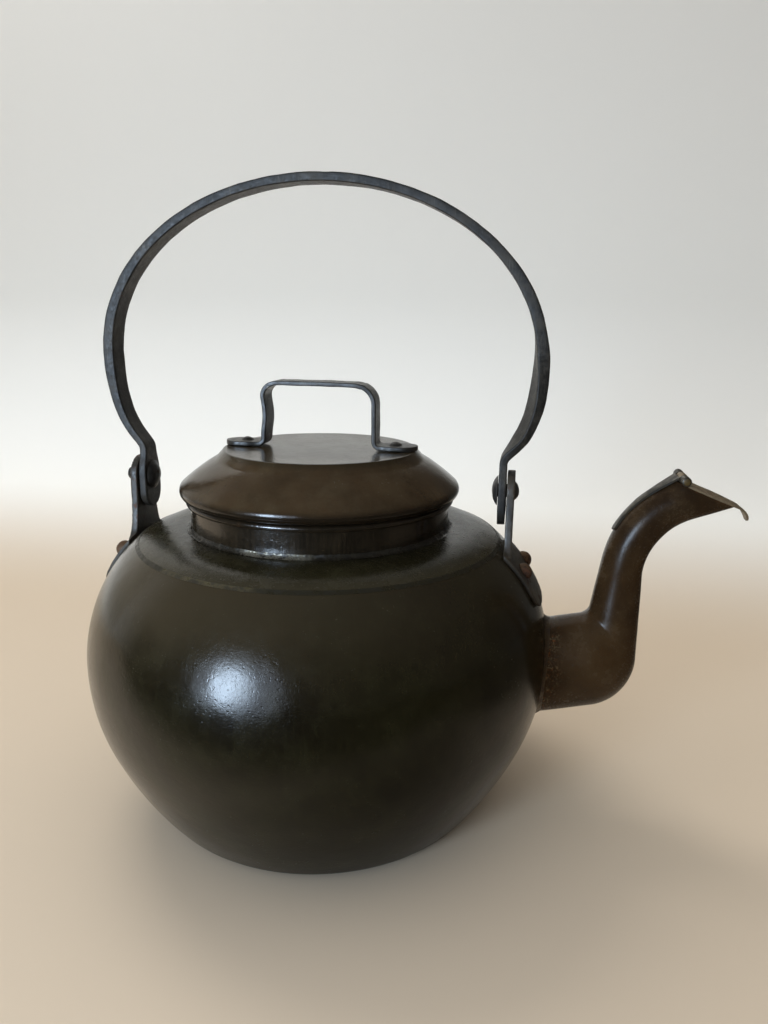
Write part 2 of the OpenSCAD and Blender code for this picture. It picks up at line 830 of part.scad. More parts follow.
bail_half = ear_half + bail_spread;
bail_wide_z = pivot_z + bail_wide_rise;
bail_out_x = ear_half - swing_gap;
bail_in_x = bail_out_x - bail_end_t;
bail_foot = [(bail_out_x + bail_in_x) / 2, pivot_z + bail_neck];
bail_side = [bail_half - bail_side_t / 2, bail_wide_z];
bail_rise = bail_top_rise - bail_crown_t / 2 - bail_wide_rise;
hip_n = 9;
crown_half_n = 13;

// The middle of the strap from a pivot up to the crown, and its thickness
bail_half_line = concat(
    [[bail_foot[0], pivot_z]],
    bezier3(bail_foot, bail_foot + [0, bail_heel], bail_side - [0, bail_hip], bail_side, hip_n),
    [
        for (i = [1:crown_half_n])
            let (a = 90 * i / crown_half_n)
            [bail_side[0] * cos(a), bail_wide_z + bail_rise * sin(a)]
    ]
);
function bail_half_t(i) =
    i <= 1 ? bail_end_t
    : i <= 1 + hip_n ? mix(bail_end_t, bail_side_t, ease((i - 1) / hip_n))
    : mix(bail_side_t, bail_crown_t, ease((i - 1 - hip_n) / crown_half_n));
bail_line = concat(bail_half_line, after_first(mirrored(bail_half_line)));
bail_turn = len(bail_half_line) - 1;
function bail_t(i) = bail_half_t(i <= bail_turn ? i : 2 * bail_turn - i);
function bail_face(side) = [
    for (i = [0:2 * bail_turn])
        let (a = bail_line[max(i - 1, 0)])
        let (b = bail_line[min(i + 1, 2 * bail_turn)])
        bail_line[i] - left(unit(b - a)) * side * bail_t(i) / 2
];

module bail() {
    tail_z = pivot_z - bail_tail + bail_end_half;
    color(iron)
    translate([-ear_shift, 0, 0])
    difference() {
        union() {
            across(bail_w)
                polygon(concat(bail_face(1), backwards(bail_face(-1))));
            for (turn = [0, 180])
                rotate([0, 0, turn])
                along_x(bail_in_x, bail_end_t)
                union() {
                    translate([0, tail_z])
                        circle(r = bail_end_half);
                    translate([-bail_end_half, tail_z])
                        square([2 * bail_end_half, pivot_z - tail_z]);
                    translate([0, pivot_z])
                        circle(r = bail_end_half);
                }
        }
        for (turn = [0, 180])
            rotate([0, 0, turn])
            translate([bail_in_x - past, 0, pivot_z])
            rotate([0, 90, 0])
            cylinder(r = pivot_r + pivot_play, h = bail_end_t + 2 * past);
    }
}

// ---- Lid

lid_z = neck_top + lid_h;
lid_top_r = neck_r - lid_inset;
lid_rim = [neck_r + lid_overhang, neck_top + lid_rim_h];
nose_r = lid_rim_h - lid_seat;
nose_c = lid_rim - [nose_r, 0];
nose_angle = 50;
hem_r = neck_in_r + rim_roll_r / 2;
step_foot = [lid_top_r + step_w, lid_z - step_h];
slope_end = nose_c + nose_r * toward(nose_angle);
slope_way = unit(slope_end - step_foot);
slope_top = mix(step_foot, slope_end, 0.5) + left(slope_way) * 2 * lid_bulge;
lid_slope = concat(
    [[0, lid_z]],
    arc([lid_top_r - lid_edge_r, lid_z - lid_edge_r], lid_edge_r, 90, 20, 3),
    bezier2(step_foot, slope_top, slope_end, 6)
);
lid_outside = concat(
    lid_slope,
    after_first(arc(nose_c, nose_r, nose_angle, -90, 7)),
    [[hem_r, neck_top + lid_seat]]
);
collar_r = neck_in_r - collar_play;
collar_z = neck_top - collar_depth;

// Everything above the underside of the lid's sheet, as a flat shape
module above_lid() {
    under = moved(lid_slope, -lid_wall);
    polygon(concat(under, [[big, last(under)[1]], [big, big], [0, big]]));
}

module lid_shell() {
    color(bronze)
    difference() {
        rotate_extrude()
            polygon(concat(lid_outside, backwards(moved(lid_outside, -lid_wall))));
        at_lid_rivets()
            cylinder(r = lid_rivet_r + fixed_play, h = big, center = true);
    }
}

module lid_collar() {
    color(copper)
    rotate_extrude()
    difference() {
        translate([collar_r - collar_wall, collar_z])
            square([collar_wall, lid_z - collar_z]);
        above_lid();
    }
}

// Solder in the corner between the collar's inner face and the lid
module lid_solder() {
    inner_r = collar_r - collar_wall;
    drop = 5;
    run = 3;
    low_z = lid_rim[1] + drop;
    color(tin)
    rotate_extrude()
    difference() {
        polygon([
            [inner_r, low_z],
            [inner_r, lid_z],
            [inner_r - 3 * run, lid_z],
        ]);
        above_lid();
    }
}

grip_half = lid_top_r - grip_inset;
grip_reach = grip_half + grip_foot_len;

module at_lid_rivets() {
    for (side = [-1, 1])
        translate([side * (grip_half + lid_rivet_gap), 0, lid_z])
        children();
}

module lid_handle() {
    top_z = lid_z + grip_h;
    bend_c = [grip_half + grip_bend_r, lid_z + grip_t + grip_bend_r];
    corner = [grip_half - grip_corner_r, top_z - grip_corner_r];
    outside = concat(
        [[grip_reach, lid_z + grip_t]],
        arc(bend_c, grip_bend_r, 270, 180, 4),
        arc(corner, grip_corner_r, 0, 90, 6)
    );
    inside = concat(
        [[grip_reach, lid_z]],
        arc(bend_c, grip_bend_r + grip_t, 270, 180, 4),
        arc(corner, grip_corner_r - grip_t, 0, 90, 6)
    );
    color(iron)
    difference() {
        intersection() {
            across(2 * grip_foot_r)
                polygon(concat(outside, mirrored(outside), backwards(concat(inside, mirrored(inside)))));
            linear_extrude(big)
            union() {
                square([2 * (grip_reach - grip_foot_r), grip_w], center = true);
                for (side = [-1, 1])
                    translate([side * (grip_reach - grip_foot_r), 0])
                    circle(r = grip_foot_r);
            }
        }
        at_lid_rivets()
            cylinder(r = lid_rivet_r + fixed_play, h = 3 * grip_t, center = true);
    }
}

module lid_rivets() {
    peen_at = -lid_wall - rove_t;
    color(rust)
    at_lid_rivets() {
        translate([0, 0, grip_t])
            dome(lid_rivet_head_r, lid_rivet_head_h);
        translate([0, 0, peen_at])
            cylinder(r = lid_rivet_r, h = grip_t - peen_at);
        translate([0, 0, peen_at])
            rotate([180, 0, 0])
            dome(lid_rivet_r + peen_rim, peen_h);
    }
}

module lid_roves() {
    color(copper)
    at_lid_rivets()
        translate([0, 0, -lid_wall])
        rove(lid_rivet_head_r, lid_rivet_r);
}

bowl();
shoulder();
shoulder_braze();
neck();
rim_wire();
neck_solder();
spout();
spout_solder();
flap_saddle();
flap_pin();
spout_flap();
ear_front();
ear_rear();
ear_rivets(0);  // ear_rivets_front
ear_rivets(1);  // ear_rivets_rear
ear_roves(0);  // ear_roves_front
ear_roves(1);  // ear_roves_rear
pivot(0, 0);  // pivot_front
pivot(1, pivot_stub);  // pivot_rear
bail();
lid_shell();
lid_collar();
lid_solder();
lid_handle();
lid_rivets();
lid_roves();
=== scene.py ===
# %% [markdown]
# # A copper coffee pot with an iron swing handle
# The real pot is a round copper bowl raised with a hammer. A neck, a goose-neck
# spout and two iron ears are soldered and riveted to it, an iron strap swings
# between the ears, and a lid drops into the neck. The solid model already
# holds every piece at its real size. This lesson dresses it: most pieces are
# modelled again with the dents, bends and worn edges of hand work, each exactly
# where its solid lies, and every piece gets the finish that it has on the old pot.

# %% Load the solid model
import math
import bpy
from mathutils import Matrix, Vector, noise


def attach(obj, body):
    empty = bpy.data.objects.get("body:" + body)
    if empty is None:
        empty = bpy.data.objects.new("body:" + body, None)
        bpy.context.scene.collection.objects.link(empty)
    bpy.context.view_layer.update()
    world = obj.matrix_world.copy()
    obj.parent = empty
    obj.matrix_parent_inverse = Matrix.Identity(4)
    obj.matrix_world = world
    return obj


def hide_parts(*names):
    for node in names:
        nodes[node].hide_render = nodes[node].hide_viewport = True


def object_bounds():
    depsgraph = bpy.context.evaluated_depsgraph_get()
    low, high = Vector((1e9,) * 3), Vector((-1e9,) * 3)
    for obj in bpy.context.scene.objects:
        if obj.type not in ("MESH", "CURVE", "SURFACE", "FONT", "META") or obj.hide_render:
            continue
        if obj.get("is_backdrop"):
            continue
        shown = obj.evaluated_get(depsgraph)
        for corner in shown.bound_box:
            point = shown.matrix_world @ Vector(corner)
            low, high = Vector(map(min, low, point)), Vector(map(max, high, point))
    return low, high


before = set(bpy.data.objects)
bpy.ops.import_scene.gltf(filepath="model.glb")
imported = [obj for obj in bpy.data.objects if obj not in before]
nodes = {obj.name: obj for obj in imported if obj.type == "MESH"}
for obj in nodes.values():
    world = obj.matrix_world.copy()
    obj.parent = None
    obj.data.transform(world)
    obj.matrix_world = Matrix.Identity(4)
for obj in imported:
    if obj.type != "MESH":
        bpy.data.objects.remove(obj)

solid_low, solid_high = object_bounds()
print("solid model in metres:", [round(c, 4) for c in (*solid_low, *solid_high)])

# %% [markdown]
# ## The camera
# It stands a little above the pot's shoulder and looks down on it. A camera in
# Blender looks along its own -Z with +Y up, so its three axes are worked out
# from a heading, a downward pitch and a small roll, and set as a matrix.

# %% Camera
image_long_side = 1024
focal_px = 769
sensor = 36
camera_at = (0.1185, -0.4581, 0.3052)
heading = Vector((-0.1685, 0.9857, 0)).normalized()
pitch = math.radians(14.2)
roll = math.radians(0.65)
up = Vector((0, 0, 1))

forward = heading * math.cos(pitch) - up * math.sin(pitch)
right = heading.cross(up)
above = right.cross(forward)
rolled_right = right * math.cos(roll) + above * math.sin(roll)
rolled_above = above * math.cos(roll) - right * math.sin(roll)

lens = bpy.data.cameras.new("camera")
lens.sensor_fit = "AUTO"
lens.sensor_width = sensor
lens.lens = sensor * focal_px / image_long_side
lens.clip_start = 0.01
camera = bpy.data.objects.new("camera", lens)
axes = Matrix((rolled_right, rolled_above, -forward)).transposed().to_4x4()
camera.matrix_world = Matrix.Translation(camera_at) @ axes
bpy.context.scene.collection.objects.link(camera)
bpy.context.scene.camera = camera
print("lens in millimetres:", round(lens.lens, 2))

# %% [markdown]
# ## Lines and curves
# Raised copper is nearly all round work, so its shape is one outline turned
# about an axis. The outlines are made of arcs and Bezier curves, as a
# draughtsman draws them, in (radius, height) pairs. Metres are small numbers to
# read, so the sizes are written in millimetres and turned into metres here.

# %% Outline helpers
mm = 0.001


def toward(degrees):
    return Vector((math.cos(math.radians(degrees)), math.sin(math.radians(degrees))))


def left_of(v):
    return Vector((-v.y, v.x))


def arc(centre, r, start, end, n):
    """Points along an arc, from one angle to another in degrees."""
    return [Vector(centre) + r * toward(start + (end - start) * i / n) for i in range(n + 1)]


def bezier(points, n):
    """Points along the Bezier curve that has these control points."""
    made = []
    for i in range(n + 1):
        level = [Vector(p) for p in points]
        while len(level) > 1:
            level = [a.lerp(b, i / n) for a, b in zip(level, level[1:])]
        made.append(level[0])
    return made


def clock(n):
    """n even angles round a circle."""
    return [2 * math.pi * k / n for k in range(n)]


def straight(a, b, n):
    return [Vector(a).lerp(Vector(b), i / n) for i in range(n + 1)]


def joined(*lines):
    """Several lines as one, each without the point that it shares with the last."""
    made = list(lines[0])
    for line in lines[1:]:
        made += line[1:]
    return made


def moved(line, d):
    """An open line moved to its left by d."""
    made = []
    for i, p in enumerate(line):
        before = (p - line[i - 1]).normalized() if i else (line[1] - p).normalized()
        after = (line[i + 1] - p).normalized() if i < len(line) - 1 else before
        a = left_of(before)
        b = left_of(after)
        made.append(p + d * (a + b) / (1 + a.dot(b)))
    return made


def ease(t):
    """A share from 0 to 1 that starts and ends gently."""
    t = min(max(t, 0), 1)
    return t * t * (3 - 2 * t)


def mix(a, b, t):
    return a + (b - a) * t

# %% [markdown]
# ## Making meshes
# Two ways of making a mesh cover nearly every piece. `turned` spins an outline
# about the pot's axis, as a lathe does, and `skinned` joins rings of points, for
# straps and tubes. Both give four-sided faces in neat rows, which bend well and
# catch the light without creases. Sharp corners are marked by their angle, so
# that the rest is shaded smooth.

# %% Mesh helpers
def finished(name, points, faces, crease=35):
    """A mesh object with smooth shading and sharp creases."""
    mesh = bpy.data.meshes.new(name)
    mesh.from_pydata([tuple(p) for p in points], [], faces)
    mesh.validate()
    obj = bpy.data.objects.new(name, mesh)
    bpy.context.scene.collection.objects.link(obj)
    smooth(obj, crease)
    return obj


def smooth(obj, crease=35):
    obj.data.shade_smooth()
    obj.data.set_sharp_from_angle(angle=math.radians(crease))


def turned(name, outline, turns=360, crease=35):
    """Spins a closed outline of (radius, height) points in mm about the axis.
    Points on the axis itself become one point each."""
    points, rows = [], []
    for p in outline:
        if p[0] < 1e-6:
            rows.append([len(points)] * turns)
            points.append((0, 0, p[1] * mm))
        else:
            rows.append(list(range(len(points), len(points) + turns)))
            for a in clock(turns):
                points.append((p[0] * mm * math.cos(a), p[0] * mm * math.sin(a), p[1] * mm))
    faces = []
    for a, b in zip(rows, rows[1:] + rows[:1]):
        for k in range(turns):
            m = (k + 1) % turns
            corners = list(dict.fromkeys((a[k], a[m], b[m], b[k])))
            if len(corners) > 2:
                faces.append(corners)
    return finished(name, points, faces, crease)


def skinned(name, rings, crease=35, closed=False, caps=True):
    """Joins rings of points, all with the same number of points, in metres."""
    count = len(rings[0])
    points = [p for ring in rings for p in ring]
    pairs = list(zip(range(len(rings)), range(1, len(rings))))
    if closed:
        pairs.append((len(rings) - 1, 0))
    faces = []
    for i, j in pairs:
        for k in range(count):
            m = (k + 1) % count
            faces.append((i * count + k, i * count + m, j * count + m, j * count + k))
    if caps and not closed:
        faces.append(tuple(reversed(range(count))))
        faces.append(tuple(range(len(points) - count, len(points))))
    return finished(name, points, faces, crease)


def outward(obj):
    """Turns the faces of a closed mesh to look outward."""
    bpy.context.view_layer.objects.active = obj
    bpy.ops.object.mode_set(mode="EDIT")
    bpy.ops.mesh.select_all(action="SELECT")
    bpy.ops.mesh.normals_make_consistent(inside=False)
    bpy.ops.object.mode_set(mode="OBJECT")


def worked(obj, depth, crease=35):
    """Moves every point along its normal by depth(point), in millimetres."""
    mesh = obj.data
    normals = [n.vector.copy() for n in mesh.vertex_normals]
    for v, n in zip(mesh.vertices, normals):
        v.co += n * (depth(v.co) * mm)
    mesh.update()
    smooth(obj, crease)


def lumps(p, size, seed=0):
    """Soft noise from -1 to 1 whose lumps are about size mm across."""
    return noise.noise(p / (size * mm) + Vector((seed * 7.3, seed * 3.1, seed * 5.7)))

# %% [markdown]
# ## Hammer work
# A raised bowl is never a perfect solid of revolution. Long, soft hollows are
# left from raising, and small flat facets from planishing, each where one blow
# of a polished hammer fell. Both are real shape, a few tenths of a millimetre
# deep, and the reflections show them. One function of the place gives them, so
# that the bowl, the braze and the shoulder stay flush where they meet.

# %% Raising and planishing
def facets(p, size, seed=0):
    """The facets of a planishing hammer: 0 on a ridge, 1 amid a facet."""
    near, _ = noise.voronoi(p / (size * mm) + Vector((seed, 0, 0)), distance_metric="DISTANCE")
    return min(1, (near[1] - near[0]) * 1.6)


def hammered(p):
    if p.z < 1.5 * mm:
        return 0
    long = 0.32 * lumps(p, 62, 1) + 0.16 * lumps(p, 27, 2)
    short = 0.05 * lumps(p, 9, 3) - 0.035 * facets(p, 13)
    return (long + short) * ease((p.z - 1.5 * mm) / (12 * mm))

# %% [markdown]
# ## The bowl, the braze and the shoulder
# The body is two sheets. The bowl rises from its flat base to a seam above the
# belly, and the dished shoulder closes it up to the neck. A fine line of braze
# joins them. The wall's outline is five arcs that run into each other.

# %% Outline of the body
body_r = 145
belly_z = 103
belly_curve_r = 128
belly_curve_angle = 24
flank_r = 240
base_corner_r = 15
crown_curve_r = 90
seam_angle = 50
wall = 1.6
braze_w = 1.6
neck_r = 80
shoulder_rise = 6.5
shoulder_bulge = 2
neck_fillet = 2.6
neck_land = 1.2

belly_c = Vector((body_r - belly_curve_r, belly_z))
flank_c = belly_c - (flank_r - belly_curve_r) * toward(-belly_curve_angle)
flank_end = math.degrees(math.asin((flank_c.y - base_corner_r) / (flank_r - base_corner_r)))
corner_c = flank_c + (flank_r - base_corner_r) * toward(-flank_end)
crown_c = Vector((body_r - crown_curve_r, belly_z))
braze_angle = math.degrees(braze_w / crown_curve_r)
shoulder_start = crown_c + crown_curve_r * toward(seam_angle + braze_angle)
neck_z = shoulder_start.y + shoulder_rise


def body_line(d, fine):
    """The wall from the flat base to the seam, moved outward by d. fine is the
    number of points per 10 mm of the real wall."""
    return joined(
        arc(corner_c, base_corner_r + d, -90, -flank_end, 2 * fine),
        arc(flank_c, flank_r + d, -flank_end, -belly_curve_angle, 8 * fine),
        arc(belly_c, belly_curve_r + d, -belly_curve_angle, 0, 5 * fine),
        arc(crown_c, crown_curve_r + d, 0, seam_angle, 8 * fine),
    )


def body_at(z, d=0):
    """Radius of the body at a height, moved outward by d."""
    if z > belly_z:
        c, r = crown_c, crown_curve_r + d
    elif z > belly_z - belly_curve_r * math.sin(math.radians(belly_curve_angle)):
        c, r = belly_c, belly_curve_r + d
    else:
        c, r = flank_c, flank_r + d
    return c.x + math.sqrt(r * r - (z - c.y) ** 2)

# %% Bowl
base_rings = [Vector((r, 0)) for r in (0, 12, 28, 46, 64, 80)]
inside = [Vector((p.x, p.y)) for p in reversed(body_line(-wall, 1))]
inner_base = [Vector((r, wall)) for r in (64, 32, 0)]
bowl = turned("bowl_copper", base_rings + body_line(0, 4) + inside + inner_base)
outward(bowl)
worked(bowl, hammered)
print("bowl:", len(bowl.data.vertices), "points")

# %% [markdown]
# The spout opens into the bowl through a round hole, which shows when the lid is
# off. A boolean with a plain cylinder cuts it, and cuts the holes in the hinge,
# the swing handle and the lid's handle too.

# %% Holes
def drill(obj, start, end, r):
    """Cuts a round hole of radius r mm from start to end, both in mm."""
    a, b = Vector(start) * mm, Vector(end) * mm
    turn = (b - a).to_track_quat("Z", "Y").to_matrix()
    edge = [turn @ Vector((r * mm * math.cos(t), r * mm * math.sin(t), 0)) for t in clock(48)]
    bit = skinned("bit", [[a + p for p in edge], [b + p for p in edge]])
    outward(bit)
    cut_away(obj, bit)


def cut_away(obj, tool, crease=35):
    """Takes the shape of a tool out of an object. The tool is used up."""
    cut = obj.modifiers.new("cut", "BOOLEAN")
    cut.operation = "DIFFERENCE"
    cut.solver = "MANIFOLD"
    cut.object = tool
    applied(obj, crease)
    bpy.data.objects.remove(tool)


def applied(obj, crease=35):
    """Makes the result of an object's modifiers its own mesh."""
    graph = bpy.context.evaluated_depsgraph_get()
    result = bpy.data.meshes.new_from_object(obj.evaluated_get(graph))
    old = obj.data
    obj.modifiers.clear()
    obj.data = result
    bpy.data.meshes.remove(old)
    smooth(obj, crease)


spout_root_z = 94
spout_root_angle = 13
spout_hole_r = 22
hole_way = Vector((math.cos(math.radians(spout_root_angle)), 0, math.sin(math.radians(spout_root_angle))))
hole_at = Vector((body_at(spout_root_z), 0, spout_root_z))
drill(bowl, hole_at - 30 * hole_way, hole_at + 30 * hole_way, spout_hole_r)
print("bowl with its hole:", len(bowl.data.vertices), "points")

# %% Shoulder
land = Vector((neck_r + neck_fillet + neck_land, neck_z))
chord = (land - shoulder_start).normalized()
shoulder_top = shoulder_start.lerp(land, 0.5) - left_of(chord) * 2 * shoulder_bulge
shoulder_line = joined(
    bezier([shoulder_start, shoulder_top, land], 24),
    straight(land, (neck_r, neck_z), 3),
)
shoulder_inside = [crown_c + (crown_curve_r - wall) * toward(seam_angle + braze_angle)]
shoulder_inside += moved(shoulder_line, wall)[1:]
shoulder = turned("shoulder_copper", shoulder_line + list(reversed(shoulder_inside)))
outward(shoulder)
worked(shoulder, hammered)

# %% Line of braze
def braze_depth(p):
    """Flush with the sheets, with the grains and runs of the braze on top."""
    return hammered(p) + 0.10 * lumps(p, 2.2, 4) + 0.10 * max(0, lumps(p, 6, 5))


braze_over = 0.35
seam_end = seam_angle + braze_angle
braze_outline = arc(crown_c, crown_curve_r + 0.12, seam_angle - braze_over, seam_end + braze_over, 6)
braze_outline += reversed(arc(crown_c, crown_curve_r - wall - 0.1, seam_angle, seam_end, 2))
braze = turned("shoulder_braze_line", braze_outline, 720)
outward(braze)
worked(braze, braze_depth)
print("shoulder:", len(shoulder.data.vertices), "braze:", len(braze.data.vertices))

# %% [markdown]
# ## The neck
# A plain cylinder of thinner copper stands on the shoulder. Its edge is rolled
# over an iron wire, which stiffens it. The lid has rubbed it up and down for
# years, so it isn't quite round and carries upright marks.

# %% Neck
neck_h = 19
neck_wall = 1.2
rim_roll_r = 2
neck_in_r = neck_r - neck_wall
neck_top = neck_z + neck_h
roll_c = Vector((neck_in_r + rim_roll_r, neck_top - rim_roll_r))
flange_z = neck_z - wall


def neck_depth(p):
    around = Vector((p.x, p.y, p.z * 0.15))
    return 0.12 * lumps(p, 45, 6) + 0.05 * lumps(around, 3.5, 7)


neck_outline = (
    straight((neck_in_r, flange_z - neck_wall), (neck_r + neck_fillet, flange_z - neck_wall), 3)
    + straight((neck_r + neck_fillet, flange_z), (neck_r, flange_z), 3)
    + straight((neck_r, flange_z + 1), (neck_r, roll_c.y - rim_roll_r * 0.9), 9)
    + arc(roll_c, rim_roll_r, -60, 180, 14)
    + straight((neck_in_r, roll_c.y - 1), (neck_in_r, flange_z), 8)
)
neck = turned("neck_copper", neck_outline)
outward(neck)
worked(neck, neck_depth)

# %% [markdown]
# ## Solder at the neck's foot
# The neck was sweated on with tin. The fillet was wiped while it was pasty, so it
# is grainy and uneven, with small bright beads. It is a ring of its own with a
# fine noise in its surface.

# %% Tin fillet
def tin_depth(p):
    beads = max(0, lumps(p, 2.0, 8)) ** 2
    return 0.28 * lumps(p, 5, 9) + 0.75 * beads + 0.12 * lumps(p, 1.1, 10)


fillet = neck_fillet
neck_tin = turned("neck_tin", (
    [Vector((neck_r - 0.1, neck_z - 0.1))]
    + arc((neck_r + fillet, neck_z + fillet), fillet - 0.1, 270, 180, 8)
), 1080)
outward(neck_tin)
worked(neck_tin, tin_depth, 80)
print("neck:", len(neck.data.vertices), "tin:", len(neck_tin.data.vertices))

# %% [markdown]
# ## The lid
# One raised sheet: a flat top, a stepped edge, a slope and a rim turned under.
# Its outline is spun like the body's. A lid is planished on a flat stake, so it
# has shallower dents than the bowl, and its flat top sags by half a millimetre.

# %% Lid
lid_inset = 20
lid_h = 28.7
step_w = 4
step_h = 5.5
lid_overhang = 6.2
lid_rim_h = 4.8
lid_bulge = 0.7
lid_edge_r = 1.5
lid_wall = 1
lid_seat = 0.25
nose_angle = 50

lid_z = neck_top + lid_h
lid_top_r = neck_r - lid_inset
lid_rim = Vector((neck_r + lid_overhang, neck_top + lid_rim_h))
nose_r = lid_rim_h - lid_seat
nose_c = lid_rim - Vector((nose_r, 0))
step_foot = Vector((lid_top_r + step_w, lid_z - step_h))
slope_end = nose_c + nose_r * toward(nose_angle)
slope_way = (slope_end - step_foot).normalized()
slope_top = step_foot.lerp(slope_end, 0.5) + left_of(slope_way) * 2 * lid_bulge
lid_edge = arc((lid_top_r - lid_edge_r, lid_z - lid_edge_r), lid_edge_r, 90, 20, 6)
lid_outline = joined(
    [Vector((r, lid_z)) for r in (0, 8, 16, 24, 32, 40, 46, 52, 56)] + lid_edge,
    straight(lid_edge[-1], step_foot, 5),
    bezier([step_foot, slope_top, slope_end], 20),
    arc(nose_c, nose_r, nose_angle, -90, 20),
    straight(nose_c - Vector((0, nose_r)), (neck_in_r + rim_roll_r / 2, neck_top + lid_seat), 2),
)


def lid_depth(p):
    r = math.hypot(p.x, p.y)
    flat = ease((r - 0.045) / 0.02)
    dents = 0.20 * lumps(p, 34, 11) + 0.08 * lumps(p, 13, 12) - 0.03 * facets(p, 9)
    return dents * (0.45 + 0.55 * flat) - 0.35 * (1 - flat)


lid = turned("lid_copper", lid_outline + list(reversed(moved(lid_outline, -lid_wall)[1:])) +
             [Vector((0, lid_z - lid_wall))])
outward(lid)
worked(lid, lid_depth, 28)
print("lid:", len(lid.data.vertices), "points, top at", round(lid_z, 2), "mm")

# %% [markdown]
# ## The spout
# A goose-neck spout is bent from a tapering tube that was filled with pitch. In
# the plane through the pot's axis it has two side lines, its back and its front.
# Each is three straight stretches with rounded corners, and the oval sections
# lie between them. The same lines are built here with more sections, and the
# tube is left a little lumpy, as bending leaves it.

# %% Side lines of the spout
spout_root_h = 60.5
spout_root_w = 54
elbow_w = 50
spout_riser_x = body_r + 52.5
spout_riser_d = 26.5
spout_riser_z = belly_z + 47
spout_riser_lean = 4
spout_riser_taper = 4.8
elbow_outer_r = 33.5
elbow_inner_r = 8
head_inner_r = 39
head_outer_r = 66
head_back_angle = 32
beak_angle = 20.5
lip = Vector((spout_riser_x + 47.5, belly_z + 99))
mouth_angle = 22
beak_w = 25
beak_tip_w = 14
beak_past = 15
spout_wall = 1.2
root_fillet = 3
pin_back = 30.5
knuckle_r = 2.7
pin_r = 1.25
leaf_t = 1.2
seat = 0.1


def meeting(a, u, b, v):
    """Where the line through a along u meets the line through b along v."""
    return a + u * ((b - a).cross(v) / u.cross(v))


def rounded(a, b, c, r, n):
    """The round of radius r at the corner b."""
    u, v = (b - a).normalized(), (c - b).normalized()
    side = 1 if u.cross(v) > 0 else -1
    turn = math.acos(u.dot(v))
    start = b - u * r * math.tan(turn / 2)
    middle = start + left_of(u) * r * side
    first = math.degrees(math.atan2(start.y - middle.y, start.x - middle.x))
    return arc(middle, r, first, first + side * math.degrees(turn), n)


mouth_way = toward(-mouth_angle)
pin_n = lid_seat + knuckle_r
pin_u = (-pin_back - pin_n * math.sin(math.radians(mouth_angle))) / math.cos(math.radians(mouth_angle))
pin = lip + mouth_way * pin_u + left_of(mouth_way) * pin_n
back_way = toward(head_back_angle)
back_end = pin + left_of(back_way) * (knuckle_r - leaf_t - seat)
root_way = toward(spout_root_angle)
root_top_z = spout_root_z + spout_root_h / 2
root_low_z = spout_root_z - spout_root_h / 2
root_top = Vector((body_at(root_top_z, seat), root_top_z))
root_low = Vector((body_at(root_low_z, seat), root_low_z))
riser_front = Vector((spout_riser_x, spout_riser_z))
riser_back = riser_front - Vector((spout_riser_d, 0))
upright_back = toward(90 - spout_riser_lean - spout_riser_taper)
upright_front = toward(90 - spout_riser_lean + spout_riser_taper)
back_corners = [
    root_top,
    meeting(root_top, root_way, riser_back, upright_back),
    meeting(riser_back, upright_back, back_end, back_way),
    back_end + back_way * 2 * beak_past,
]
front_corners = [
    root_low,
    meeting(root_low, root_way, riser_front, upright_front),
    meeting(riser_front, upright_front, lip, toward(beak_angle)),
    lip + toward(beak_angle) * beak_past,
]
print("hinge pin at", [round(c, 2) for c in pin])

# %% [markdown]
# Both side lines are cut into the same number of sections: so many for the
# fillet, the root, the elbow, the riser, the head and the beak. A section is
# counted from the bowl, and `fine` points on each line lie within it.

# %% Sections of the spout
fine = 4
fillet_n, root_n, elbow_n, riser_n, head_n, beak_n = 1, 2, 6, 3, 9, 4
elbow_at = fillet_n + root_n
head_at = elbow_at + elbow_n + riser_n
beak_at = head_at + head_n
end_at = beak_at + beak_n


def side_line(corners, elbow_r, head_r):
    elbow = rounded(*corners[:3], elbow_r, elbow_n * fine)
    head = rounded(*corners[1:], head_r, head_n * fine)
    fillet_end = corners[0] + (corners[1] - corners[0]).normalized() * root_fillet
    return joined(
        straight(corners[0], fillet_end, fillet_n * fine),
        straight(fillet_end, elbow[0], root_n * fine),
        elbow,
        straight(elbow[-1], head[0], riser_n * fine),
        head,
        straight(head[-1], corners[3], beak_n * fine),
    )


back_line = side_line(back_corners, elbow_inner_r, head_outer_r)
front_line = side_line(front_corners, elbow_outer_r, head_inner_r)


def half_width(t):
    if t <= elbow_at:
        return mix(spout_root_w, elbow_w, t / elbow_at) / 2
    if t <= head_at:
        return mix(elbow_w, spout_riser_d, ease((t - elbow_at) / (head_at - elbow_at))) / 2
    if t <= beak_at:
        return mix(spout_riser_d, beak_w, (t - head_at) / head_n) / 2
    return mix(beak_w, beak_tip_w, (t - beak_at) / beak_n) / 2


def along(line, t):
    i = min(int(t * fine), len(line) - 2)
    return line[i].lerp(line[i + 1], t * fine - i)


def on_root(spread, a, d):
    """A point of the oval where the spout meets the bowl, spread wider all round
    and lifted by d from the bowl."""
    z = spout_root_z + (spout_root_h / 2 + spread) * math.cos(a)
    y = (spout_root_w / 2 + spread) * math.sin(a)
    r = body_at(z, seat + d)
    return Vector((math.sqrt(r * r - y * y), y, z))


def on_spout(t, a, d):
    """A point of the spout: t counts its sections, a is the angle from the back."""
    back, front = along(back_line, t), along(front_line, t)
    reach = (back - front).normalized()
    p = (back + front) / 2 + reach * (((back - front).length / 2 + d) * math.cos(a))
    free = Vector((p.x, (half_width(t) + d) * math.sin(a), p.y))
    if t >= 1:
        return free
    return on_root(d, a, -0.6).lerp(free, t)

# %% [markdown]
# The mouth is sawn off on a slant. Each line along the tube ends where it meets
# the plane of the mouth, so the edge is one clean loop of faces, with the inside
# wall joined to the outside wall round it.

# %% Spout
def past_mouth(p):
    flat = Vector((p.x, p.z)) - lip
    return flat.dot(left_of(mouth_way))


